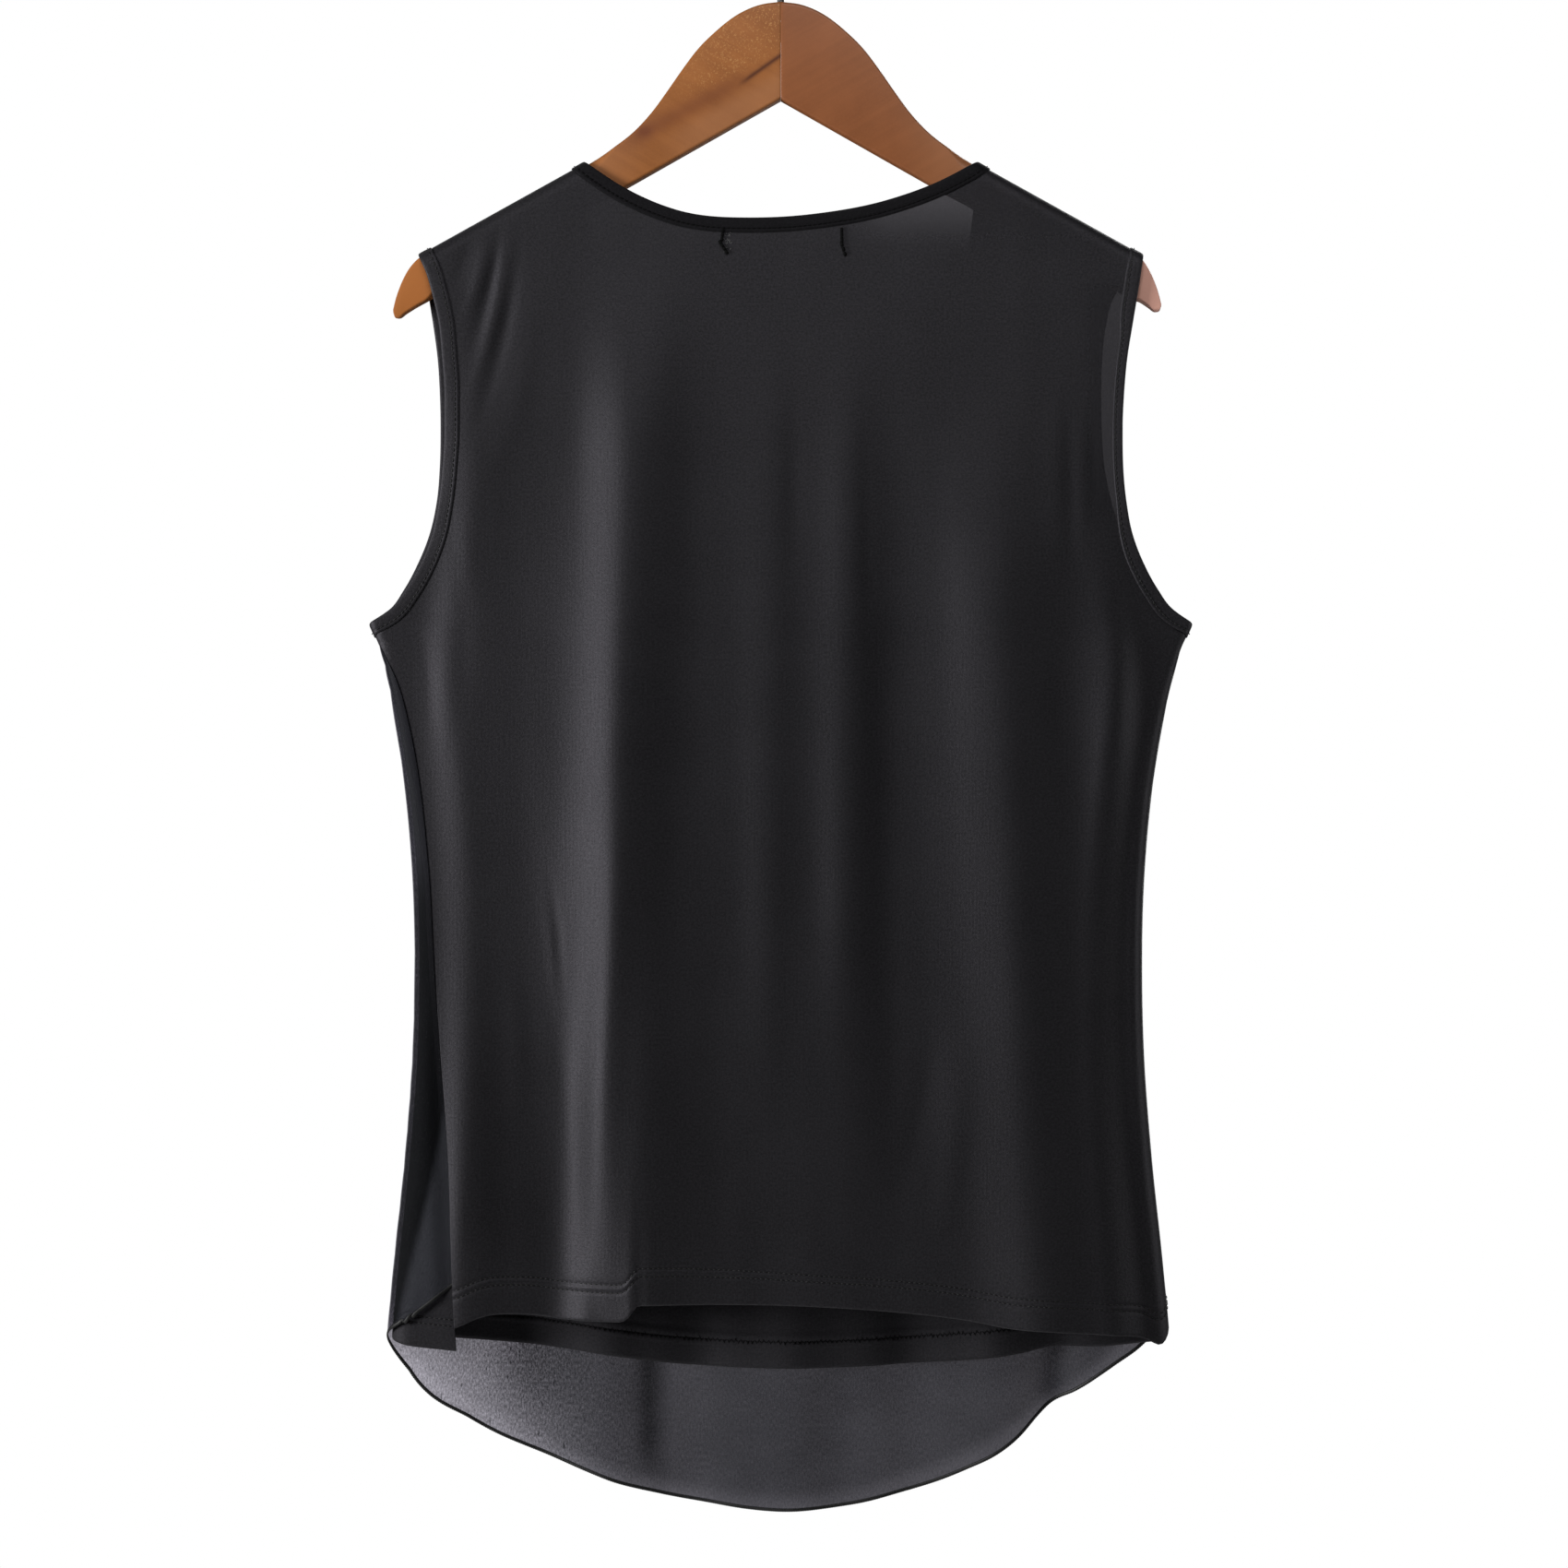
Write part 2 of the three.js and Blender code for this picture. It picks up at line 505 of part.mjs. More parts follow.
/**
 * A panel's grid, as rows of (across, down). Its upper rows start at the stations of the armholes and its next rows
 * at fixed places on the side seams, so they are the same on the front and on its overlay. The rest lead to the hem.
 */
function panelRows(side, hem, hemRows) {
  const left = armholeStations(side, LEFT).map((at) => at.panel);
  const right = armholeStations(side, RIGHT).map((at) => at.panel);
  const [leftTop, rightTop] = [left[0], right[0]];
  const top = topEdge(side, leftTop, rightTop);
  const width = rightTop.x - leftTop.x;
  const neckShare = (top[SHOULDER_COLUMNS].x - leftTop.x) / width;
  const shareOf = (down) => (down - leftTop.y) / (FOLD_END - leftTop.y);
  const underarmShare = shareOf(UNDERARM);
  const columns = top.map((start, j) => {
    const share = hemShare(j / (top.length - 1));
    let foot = hem(0);
    for (let i = 0; i < HEM_ROUNDS; i += 1) foot = hem(columnAcross(side, share, foot));
    return { start, share, foot, underarm: lerp(start.y, FOLD_END, underarmShare) };
  });
  const upper = left.slice(0, -1).map((leftPoint, i) => {
    const rightPoint = right[i];
    const share = shareOf(leftPoint.y);
    const spread = smoothstep(share, 0, underarmShare); // near the top, an armhole's curve doesn't reach the neck
    return columns.map(({ start, share: atFoot }) => {
      const from = lerp((start.x - leftTop.x) / width, atFoot, spread);
      const leftPull = lerp(Math.max(1 - from / neckShare, 0), 1 - from, spread) * (leftPoint.x - leftTop.x);
      const rightPull = lerp(Math.max(1 - (1 - from) / neckShare, 0), from, spread) * (rightPoint.x - rightTop.x);
      const across = lerp(leftTop.x, rightTop.x, from) + leftPull + rightPull;
      return new THREE.Vector2(across, lerp(start.y, FOLD_END, share) + (rightPoint.y - leftPoint.y) * from);
    });
  });
  const under = (downOf) =>
    columns.map((column) => {
      const down = downOf(column);
      return new THREE.Vector2(columnAcross(side, column.share, down), down);
    });
  const common = [UNDERARM, ...SIDE_ROWS].map((level) => {
    const share = (level - UNDERARM) / (LAST_SIDE_ROW - UNDERARM);
    return under((column) => lerp(column.underarm, LAST_SIDE_ROW, share));
  });
  const above = hemRows.length ? hemRows[0] : 0;
  const lower = Array.from({ length: LOW_ROWS }, (_, k) =>
    under((column) => lerp(LAST_SIDE_ROW, column.foot - above, (k + 1) / LOW_ROWS)),
  );
  return [...upper, ...common, ...lower, ...hemRows.slice(1).map((up) => under((column) => column.foot - up))];
}

/** A panel of cloth, with its hem turned up inside it or left plain. */
function panel({ side, surface, hem, wall, turned }) {
  const hemRows = turned ? [TURNED_HEM.width + TURNED_HEM.step, TURNED_HEM.width, 0] : [];
  const rows = panelRows(side, hem, hemRows);
  const outer = [];
  const inner = [];
  rows.forEach((row, i) => {
    const thickness = wall + (turned && i > rows.length - 3 ? TURNED_HEM.extra : 0);
    const moved = (by) =>
      row.map(({ x: across, y: down }) => {
        const normal = outwards(surface, side, across, down);
        return keptFromSeam(surface(across, down).addScaledVector(normal, by), side, down);
      });
    outer.push(moved(wall / 2));
    inner.push(moved(wall / 2 - thickness));
  });
  return closedWall(outer, inner);
}

/** Keeps a panel's wall on its own side of the shoulder seam. */
function keptFromSeam(point, side, down) {
  if (down < UNDERARM / 2) point.y = side * Math.max(side * point.y, SEAM_GAP / 2);
  return point;
}

/** A binding right round an opening, through the stations of its back and then of its front. */
function binding(backStations, frontStations) {
  const half = BINDING.thickness / 2;
  const edge = half * BINDING.edge;
  const profile = [
    { along: 0, out: edge },
    { along: BINDING.fold, out: half },
    { along: BINDING.width, out: half },
    { along: BINDING.width, out: -half },
    { along: BINDING.fold, out: -half },
    { along: 0, out: -edge },
  ];
  const section = (side, closing) => (at) =>
    profile.map(({ along, out }) => {
      const place = at.edge.clone().addScaledVector(at.away, along);
      const surface = side === BACK ? backSurface : frontSurface;
      const point = surface(place.x, place.y);
      const normal = outwards(surface, side, place.x, place.y);
      if (closing) {
        point.y = 0;
        normal.y = 0;
        normal.normalize();
      }
      return point.addScaledVector(normal, out + BINDING.proud);
    });
  const last = backStations.length - 1;
  return loft(
    [
      section(BACK, true)(backStations[0]),
      ...backStations.slice(1, -1).map(section(BACK, false)),
      section(BACK, true)(backStations[last]),
      ...frontStations.slice(1, -1).map(section(FRONT, false)).reverse(),
    ],
    true,
  );
}

/** One half of the hanger: upright sections with round corners, from the joint in the middle out to the tip. */
function hangerHalf(hand) {
  const straight = (out) => shoulderTop(out) + HANGER.gap;
  const topRows = [
    ...HANGER_HUMP,
    ...HANGER_ARM.map((out) => ({ out, down: straight(out) })),
    ...HANGER_TIP.map((row) => ({ out: row.out, down: row.top })),
  ];
  const under = (out) => HANGER.under + HANGER.underSlope * out;
  const underRows = [0, 50, 80, ...HANGER_ARM].map((out) => ({ out, down: under(out) }));
  underRows.push(...HANGER_TIP.map((row) => ({ out: row.out, down: row.under })));
  const topAt = through(topRows, 'out', 'down');
  const underAt = through(underRows, 'out', 'down');
  const lastOut = HANGER_TIP[HANGER_TIP.length - 1].out;
  const [, ...humpOuts] = HANGER_HUMP.map((row) => row.out);
  const outs = [SEAM_GAP / 2, ...humpOuts, ...HANGER_ARM, ...HANGER_TIP.map((row) => row.out)];
  const sections = outs.map((out) => {
    const top = topAt(out);
    const bottom = underAt(out);
    const thin = smoothstep(out, HANGER.thinFrom, lastOut);
    const half = lerp(HANGER.halfThickness, HANGER.tipHalfThickness, thin);
    const cornerAcross = Math.min(HANGER_CORNER.across, half * HANGER_CORNER.share);
    const cornerDown = Math.min(HANGER_CORNER.down, ((bottom - top) / 2) * HANGER_CORNER.share);
    const corners = [
      { y: half - cornerAcross, down: top + cornerDown, start: 0 },
      { y: half - cornerAcross, down: bottom - cornerDown, start: 1 },
      { y: cornerAcross - half, down: bottom - cornerDown, start: 2 },
      { y: cornerAcross - half, down: top + cornerDown, start: 3 },
    ];
    return corners.flatMap(({ y, down, start }) =>
      Array.from({ length: CORNER_POINTS }, (_, k) => {
        const angle = (start + k / (CORNER_POINTS - 1) - 1) * (Math.PI / 2);
        return new THREE.Vector3(
          hand * out,
          y + cornerAcross * Math.cos(angle),
          NECK_LEVEL - (down + cornerDown * Math.sin(angle)),
        );
      }),
    );
  });
  return loft(sections, false);
}

/** The hook's middle line: a straight shank, a lean to the left, and a round bend over the rail. */
function hookPath() {
  const middle = HOOK.wire - HOOK.bend;
  const onBend = (degrees) => {
    const angle = THREE.MathUtils.degToRad(degrees);
    return new THREE.Vector3(HOOK.bend * Math.cos(angle), 0, middle + HOOK.bend * Math.sin(angle));
  };
  const shankTop = new THREE.Vector3(0, 0, HOOK.shankTop);
  const start = onBend(HOOK.bendStart);
  const direction = onBend(HOOK.bendStart - 1).sub(start).normalize();
  const lean = new THREE.CubicBezierCurve3(
    shankTop,
    shankTop.clone().add(new THREE.Vector3(0, 0, HOOK.lean)),
    start.clone().addScaledVector(direction, -HOOK.lean),
    start,
  );
  const shankFoot = new THREE.Vector3(0, 0, HOOK.shankFoot);
  const points = [shankFoot, shankFoot.clone().lerp(shankTop, 0.5), ...lean.getPoints(6)];
  const bendStep = (HOOK.bendStart - HOOK.tip) / BEND_STEPS;
  for (let i = 1; i <= BEND_STEPS; i += 1) points.push(onBend(HOOK.bendStart - i * bendStep));
  return new THREE.CatmullRomCurve3(points, false, 'centripetal');
}

function hook() {
  const section = new THREE.Shape(
    Array.from({ length: WIRE_SIDES }, (_, k) => {
      const angle = (k / WIRE_SIDES) * 2 * Math.PI;
      return new THREE.Vector2(HOOK.wire * Math.cos(angle), HOOK.wire * Math.sin(angle));
    }),
  );
  return new THREE.ExtrudeGeometry(section, { steps: HOOK_STEPS, extrudePath: hookPath() });
}

// ---- cutting the shank's bore --------------------------------------------------------------------------------

const wasm = await Module();
wasm.setup();

/** Only the positions of a geometry, with its doubles merged. */
function bare(geometry) {
  const copy = geometry.clone();
  copy.deleteAttribute('normal');
  copy.deleteAttribute('uv');
  return mergeVertices(copy, 1e-4);
}

function solidOf(geometry) {
  const merged = bare(geometry);
  const vertProperties = new Float32Array(merged.getAttribute('position').array);
  const triVerts = new Uint32Array(merged.getIndex().array);
  return new wasm.Manifold(new wasm.Mesh({ numProp: 3, vertProperties, triVerts }));
}

function geometryOf(solid) {
  const mesh = solid.getMesh();
  const geometry = new THREE.BufferGeometry();
  geometry.setAttribute('position', new THREE.BufferAttribute(new Float32Array(mesh.vertProperties), 3));
  geometry.setIndex(new THREE.BufferAttribute(new Uint32Array(mesh.triVerts), 1));
  geometry.computeVertexNormals();
  return geometry;
}

/** A hanger's half with its side of the hole that the hook's shank is set in. */
function boredHalf(hand) {
  const hangerTop = NECK_LEVEL - HANGER_HUMP[0].down;
  const height = hangerTop - HOOK.shankFoot + 2 * HOOK.boreGap;
  const bore = new THREE.CylinderGeometry(HOOK.wire + HOOK.boreGap, HOOK.wire + HOOK.boreGap, height, 16);
  bore.rotateX(Math.PI / 2);
  bore.translate(0, 0, HOOK.shankFoot - HOOK.boreGap + height / 2);
  return geometryOf(solidOf(hangerHalf(hand)).subtract(solidOf(bore)));
}

// ---- the object ----------------------------------------------------------------------------------------------

const materials = Object.fromEntries(
  Object.entries(COLOURS).map(([name, look]) => [name, new THREE.MeshStandardMaterial(look)]),
);

const group = new THREE.Group();

function add(name, geometry, material) {
  const mesh = new THREE.Mesh(geometry, materials[material]);
  mesh.name = name;
  group.add(mesh);
}

const back = panel({ side: BACK, surface: backSurface, hem: backHem, wall: JERSEY, turned: true });
const front = panel({ side: FRONT, surface: frontSurface, hem: frontHem, wall: JERSEY, turned: true });
const overlay = panel({ side: FRONT, surface: overlaySurface, hem: overlayHem, wall: CHIFFON, turned: false });
add('back_panel', back, 'jersey');
add('front_panel', front, 'jersey');
add('front_overlay', overlay, 'chiffon');
add('neck_binding', binding(neckStations(BACK), neckStations(FRONT)), 'binding');
[
  ['left', LEFT],
  ['right', RIGHT],
].forEach(([name, hand]) => {
  const armhole = binding(armholeStations(BACK, hand), armholeStations(FRONT, hand));
  add(`armhole_binding_${name}`, armhole, 'binding');
  add(`hanger_half_${name}`, boredHalf(hand), 'wood');
});
add('hanger_hook', hook(), 'steel');

export default group;
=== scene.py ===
"""A black sleeveless blouse on a wooden hanger, with its cloth, bindings, sewing, wood and wire.

Shapes are worked out in millimetres and become meshes in metres. +Z is up, the back faces -Y, "left" is -X.
"down" is a distance below the neck level. "across" is x on the flat cloth, and follows it round its sides.
"""
import math

import bpy
import numpy as np
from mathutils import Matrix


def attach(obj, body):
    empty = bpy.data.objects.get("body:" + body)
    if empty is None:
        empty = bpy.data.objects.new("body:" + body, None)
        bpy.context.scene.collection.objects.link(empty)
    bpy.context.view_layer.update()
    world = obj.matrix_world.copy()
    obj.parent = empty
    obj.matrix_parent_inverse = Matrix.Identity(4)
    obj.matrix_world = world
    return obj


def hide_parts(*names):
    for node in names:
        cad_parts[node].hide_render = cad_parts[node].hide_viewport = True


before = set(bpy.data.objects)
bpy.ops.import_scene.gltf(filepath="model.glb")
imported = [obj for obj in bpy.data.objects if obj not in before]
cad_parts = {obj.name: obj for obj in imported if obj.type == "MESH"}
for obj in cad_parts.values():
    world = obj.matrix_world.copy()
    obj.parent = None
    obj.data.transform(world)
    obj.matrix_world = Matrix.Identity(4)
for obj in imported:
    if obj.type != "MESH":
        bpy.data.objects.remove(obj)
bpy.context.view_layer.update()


BACK, FRONT = -1, 1
LEFT, RIGHT = -1, 1
FACES, HANDS = {BACK: "back", FRONT: "front"}, {LEFT: "left", RIGHT: "right"}
NECK_LEVEL = -166  # height of the neck level under the rail
SEAM_GAP = 0.3

JERSEY = 1.0  # thickness of the cloths
CHIFFON = 0.5
OVERLAY_OFF = 1.5  # the overlay's middle stands off the front's by this
OVERLAY_SEWN = 0.45  # and by this where it is sewn in
SEWN_FADE = 0.5, 12  # distances from a seam within which it leaves the front
# It stands off by this much more near its sides, from the underarms down, and towards its hem.
LOOSE_OFF, LOOSE_SIDES, LOOSE_UNDERARM, LOOSE_HEM = 1.6, (170, 205), 60, (470, 600)
HEM_EXTRA = 0.8  # the cloth turned up inside a hem makes it thicker
HEM_WIDTH = 20
BINDING_WIDTH = 8.5
BINDING_THICK = 2.2
BINDING_PROUD = 0.35
TUCKED = 1.5  # how far a panel reaches in under a binding
NARROWED = 0.32  # share by which the back's right armhole binding is narrower between these levels
NARROW_FROM, NARROW_TO = (80, 105), (185, 225)

SHOULDER_START, SHOULDER_DOWN, SHOULDER_SLOPE, SHOULDER_ROLL = 121, 5.7, 0.558, 7.2
SHOULDER_COS = 1 / math.hypot(1, SHOULDER_SLOPE)
UNDERARM = 267.5  # where the side seams start, under the bindings
FOLD_END = 680  # where a fold's line reaches its foot
SIDE_FADE = 0.13  # share of the body's half width in which the folds run out

# ---- tables ----


def table(names, *rows):
    """A short table's columns by name, as arrays."""
    return dict(zip(names.split(), np.array(rows, float).T))


def rows_of(columns):
    """A table's rows, one after another."""
    return zip(*columns.values())


# The openings' edges at the armholes. The front hangs a little to the left of the back.
ARMHOLE = table(
    "down back_left back_right front_left front_right",
    (52, 204, 204, 204, 204),
    (62, 199.5, 202.5, 201, 197),
    (75, 195.8, 200.5, 199, 188),
    (90, 192.5, 198, 196.6, 184),
    (110, 190.5, 194.8, 194, 181.8),
    (130, 189.2, 193, 192.8, 181.3),
    (150, 189.2, 192.2, 192.4, 181.6),
    (170, 190.3, 192.5, 192.8, 183),
    (190, 192.5, 194.3, 194.5, 187),
    (210, 196.7, 198.2, 199, 193),
    (225, 202.7, 204, 205, 201),
    (240, 211.5, 212.3, 213, 211),
    (251, 220.3, 220.8, 221, 220),
    (259, 232.4, 232.4, 232.4, 232.4),
)
ARMHOLE_TOP, ARMHOLE_END = 52, 259

# The body's sides, the radius they turn with, how deep the middle bulges and how far out the bulge reaches.
SIDES = table(
    "down out radius middle bulge",
    (0, 320, 7.2, 7.6, 204),
    (90, 300, 7.2, 8.6, 196),
    (180, 280, 6, 11, 194),
    (230, 250, 3.8, 13, 201),
    (259, 231, 2.4, 14, 207),
    (270, 226.5, 2.6, 14, 209),
    (290, 220.5, 3.6, 14.5, 210),
    (315, 215, 4.8, 15, 208),
    (345, 210, 6, 15.5, 203.5),
    (400, 204.6, 7.2, 16, 197.4),
    (450, 203.3, 7.8, 16.5, 195.5),
    (500, 204.3, 8.2, 17, 196),
    (560, 208.7, 8.8, 17, 199.9),
    (620, 215, 9.3, 17, 205.7),
    (665, 219, 9.5, 17, 209.5),
    (765, 221, 9.5, 16, 211.5),
)
# How far the side seams lie in from the side: on the back, or on the front where it is below 0.
SEAMS = table(
    "down left right",
    (267.5, 0, 0),
    (300, 5, -1.5),
    (400, 7, -3.5),
    (440, 8, -4),
    (500, 13, -4),
    (560, 22, -4),
    (610, 29, -4),
    (660, 36, -4),
)
BACK_NECK = table(
    "across down",
    (-110, -0.4), (-89, 13.5), (-59, 26.5), (-16, 31), (18, 29), (60, 21), (87, 11.4), (110, -0.4),
)
FRONT_NECK_HALF, FRONT_NECK_TOP, FRONT_NECK_DEPTH = 110, -0.4, 172  # half an ellipse
NECK_TURN = 0.45  # angle along the opening within which the binding turns to lie along the shoulder
SHOULDER_TURN, UNDERARM_TURN = 14, 9  # the same at an armhole's two ends, as distances down

BACK_HEM = table(
    "across down",
    (-186, 656), (-179, 653), (-168, 648.5), (-158, 647), (-140, 647.5), (-121, 650), (-93, 650.5),
    (-87, 649.3), (-83.5, 645.5), (-81, 641.8), (-77, 641), (-53, 641), (11, 642), (59, 645),
    (104, 650), (127, 654), (155, 656), (183, 658), (205, 661), (213, 664.5), (218, 661.5),
    (224, 655), (232, 652),
)
FRONT_HEM = table(
    "across down",
    (-262, 667.5), (-240, 665), (-222, 661.5), (-184, 663), (-121, 670), (-51, 679.5), (4, 681),
    (59, 679.5), (137, 672), (156, 668.3), (179, 668), (210, 665), (234, 664),
)
OVERLAY_HEM = table(
    "across down",
    (-258, 631), (-240, 647), (-221, 664), (-207, 686), (-175, 709), (-137, 728), (-93, 745),
    (-49, 756), (2, 761.6), (51, 756), (104, 738), (136, 719), (147, 708), (155, 700), (166, 693.5),
    (189, 678), (204, 667), (232, 631),
)

# The large folds: the "across" of each one's top and foot, the levels where it starts and ends, the length
# over which it eases in and out, how far it stands out, and how wide its two flanks are.
FOLD = "top foot start end ease rise left right"
BACK_FOLDS = table(
    FOLD,
    (-78, -104, 35, 500, 130, 11, 23, 26),
    (-84, -109, 330, 900, 170, 8.8, 14, 42),
    (-72, -79, 400, 900, 160, 2.3, 12, 21),
    (-82, -103, 80, 900, 260, 1.2, 12, 9),
    (-5, -7, 60, 560, 150, 1.9, 14, 11),
    (38, 35, 70, 520, 120, 3.2, 14, 14),
    (68, 66, 100, 700, 220, -3.2, 19, 30),
    (121, 156, 110, 900, 150, 12, 31, 54),
    (146, 190, 110, 900, 150, -4.8, 30, 24),
    (154, 158, 110, 260, 60, 0.9, 8, 7),
    (186, 203, 180, 800, 150, 9, 26, 15),
    (-148, -104, 330, 900, 330, -10.5, 38, 18),
    (-186, -176, 400, 900, 200, 3, 12, 20),
    (-176, -190, 70, 900, 110, 3.5, 20, 24),
)
FRONT_FOLDS = table(
    FOLD,
    (-128, -138, 90, 900, 180, 5, 22, 17),
    (-92, -98, 120, 900, 160, -4, 16, 15),
    (-38, -46, 190, 900, 160, 5, 20, 18),
    (8, 6, 200, 900, 170, -3.5, 18, 18),
    (66, 74, 170, 900, 150, 5, 18, 22),
    (116, 122, 110, 900, 160, -4, 15, 17),
    (150, 160, 90, 900, 200, 3.5, 16, 14),
)
OVERLAY_FOLDS = table(
    FOLD,
    (-160, -168, 300, 900, 260, 4, 14, 13),
    (-70, -66, 260, 900, 300, 5, 12, 16),
    (30, 34, 280, 900, 300, 4, 15, 13),
    (128, 153, 300, 900, 260, 6, 12, 11),
)
# Short creases, from one end to the other: how far each bows, its width and how far it stands out.
CREASE = "across down to_across to_down bow width rise"
BACK_CREASES = table(
    CREASE,
    (-174, 34, -187, 78, 2, 3.0, -0.9),
    (-163, 28, -182, 98, 3, 2.8, 1.5),
    (-157, 26, -180, 120, 4, 2.6, -1.5),
    (-151, 24, -179, 144, 4.5, 3.0, 1.6),
    (-144, 26, -177, 168, 4.5, 3.6, -1.3),
    (-134, 40, -170, 200, 6, 8, 0.8),
    (-194, 228, -189, 352, 2, 4.5, 0.45),
    (-204, 250, -197, 330, 2, 2.6, -0.35),
    (-186, 180, -178, 330, 3, 5.5, -0.7),
    (-130.5, 390, -122, 478, 1, 1.6, -0.7),
    (-134, 395, -124, 500, 1, 3.0, 0.3),
    (-152, 430, -147, 560, 1, 6.0, 0.4),
    (-79, 545, -79.5, 765, 0, 2.6, -1.0),
    (-83, 560, -83.5, 765, 0, 2.4, 0.5),
    (160, 120, 162, 240, 1, 3.6, -0.55),
    (167, 130, 170, 250, 1, 4, 0.5),
    (174, 130, 177, 200, 0, 2.4, -0.35),
    (199, 60, 204, 720, 0, 19, 4.4),
    (46, 120, 48, 300, 1, 4, -0.5),
    (8, 110, 6, 250, 0, 5, -0.5),
    (88, 470, 62, 600, 3, 7, -0.6),
    (104, 470, 84, 630, 3, 8, 0.6),
)

# ---- curves and grids ----


def point(*parts):
    """Coordinates put together as points."""
    return np.stack(np.broadcast_arrays(*parts), axis=-1)


def bell(x, width):
    """exp(-(x/width)^2)"""
    return np.exp(-((x / width) ** 2))


def circle(count):
    """Even angles round a whole circle."""
    return np.linspace(0, 2 * math.pi, count, endpoint=False)


def ease(value, start, end):
    """0 below start, 1 above end, and 3t^2 - 2t^3 of the share t between them."""
    t = np.clip((value - start) / (end - start), 0, 1)
    return t * t * (3 - 2 * t)


def mix(a, b, share):
    """The point that lies this share of the way from a to b."""
    return a + (b - a) * share


def unit(vectors):
    """Each vector divided by its length."""
    return vectors / np.linalg.norm(vectors, axis=-1, keepdims=True)


def curve(xs, ys):
    """A curve through points with no overshoot, straight beyond its ends.

    It is a cubic between neighbours. A point's slope is the weighted mean of the chords beside it, at most
    three times the gentler one, and 0 where they have different signs.
    """
    widths = np.diff(xs)
    chords = np.diff(ys) / widths
    before, after = np.append(chords[:1], chords), np.append(chords, chords[-1:])
    wide_before, wide_after = np.append(widths[:1], widths), np.append(widths, widths[-1:])
    share = wide_after / (wide_before + wide_after)
    steepest = 3 * np.minimum(abs(before), abs(after))
    slopes = np.where(before * after > 0, np.clip(mix(after, before, share), -steepest, steepest), 0)

    def at(values):
        inside = np.clip(values, xs[0], xs[-1])
        i = np.clip(np.searchsorted(xs, inside, side="right") - 1, 0, len(xs) - 2)
        t = (inside - xs[i]) / widths[i]
        level = (1 + 2 * t) * (1 - t) ** 2 * ys[i] + t * t * (3 - 2 * t) * ys[i + 1]
        level = level + widths[i] * (t * (1 - t) ** 2 * slopes[i] - t * t * (1 - t) * slopes[i + 1])
        beyond = values - inside
        return level + beyond * np.where(beyond < 0, slopes[0], slopes[-1])

    return at


def through(columns, x, y):
    """A curve through a table's rows, from one column to another."""
    return curve(columns[x], columns[y])


armhole_out = {
    (side, hand): through(ARMHOLE, "down", f"{FACES[side]}_{HANDS[hand]}") for side in FACES for hand in HANDS
}
side_out, side_radius, middle_depth, bulge_out = (through(SIDES, "down", name) for name in list(SIDES)[1:])
seam_in = {hand: through(SEAMS, "down", word) for hand, word in HANDS.items()}
back_neck, back_hem, front_hem, overlay_hem = (
    through(edge, "across", "down") for edge in (BACK_NECK, BACK_HEM, FRONT_HEM, OVERLAY_HEM)
)


def shoulder_top(across):
    """The straight line of the shoulders."""
    return SHOULDER_DOWN + (abs(across) - SHOULDER_START) * SHOULDER_SLOPE


def folds_at(folds, across, down):
    """The sum of the folds: each is a bell about its line, and eases in and out on its way down."""
    total = np.zeros(np.broadcast(across, down).shape)
    for top, foot, start, end, run, rise, left, right in rows_of(folds):
        middle = mix(top, foot, np.clip((down - start) / (FOLD_END - start), 0, 1))
        flank = np.where(across < middle, left, right)
        length = ease(down, start, start + run) * (1 - ease(down, end - run, end))
        total += rise * length * bell(across - middle, flank)
    return total


def creases_at(creases, across, down):
    """The sum of the creases: a bell across each bowed line, times the sine of the way along, squared."""
    total = np.zeros(np.broadcast(across, down).shape)
    for x0, d0, x1, d1, bow, width, rise in rows_of(creases):
        length = math.hypot(x1 - x0, d1 - d0)
        ux, ud = (x1 - x0) / length, (d1 - d0) / length
        along = np.clip(((across - x0) * ux + (down - d0) * ud) / length, 0, 1)
        swing = np.sin(math.pi * along)
        aside = (across - x0) * ud - (down - d0) * ux - bow * swing
        total += rise * swing**2 * bell(aside, width)
    return total


def unrest(across, down, seed):
    """Slow unevenness between -1 and 1: the mean of some slanting sine waves 45 to 150 mm long."""
    draw = np.random.default_rng(seed)
    spans = (45, 150), (-0.5, 0.5), (0, 2 * math.pi)
    waves = np.array([draw.uniform(low, high, 7) for low, high in spans]).T
    total = 0
    for length, slant, phase in waves:
        way = across * math.cos(slant) + down * math.sin(slant)
        total = total + np.sin(2 * math.pi * way / length + phase)
    return total / len(waves)


def inside_sides(across, down):
    """1 well inside the body, and 0 at its sides, where the folds run out."""
    return ease(1 - abs(across) / bulge_out(down), 0, SIDE_FADE)


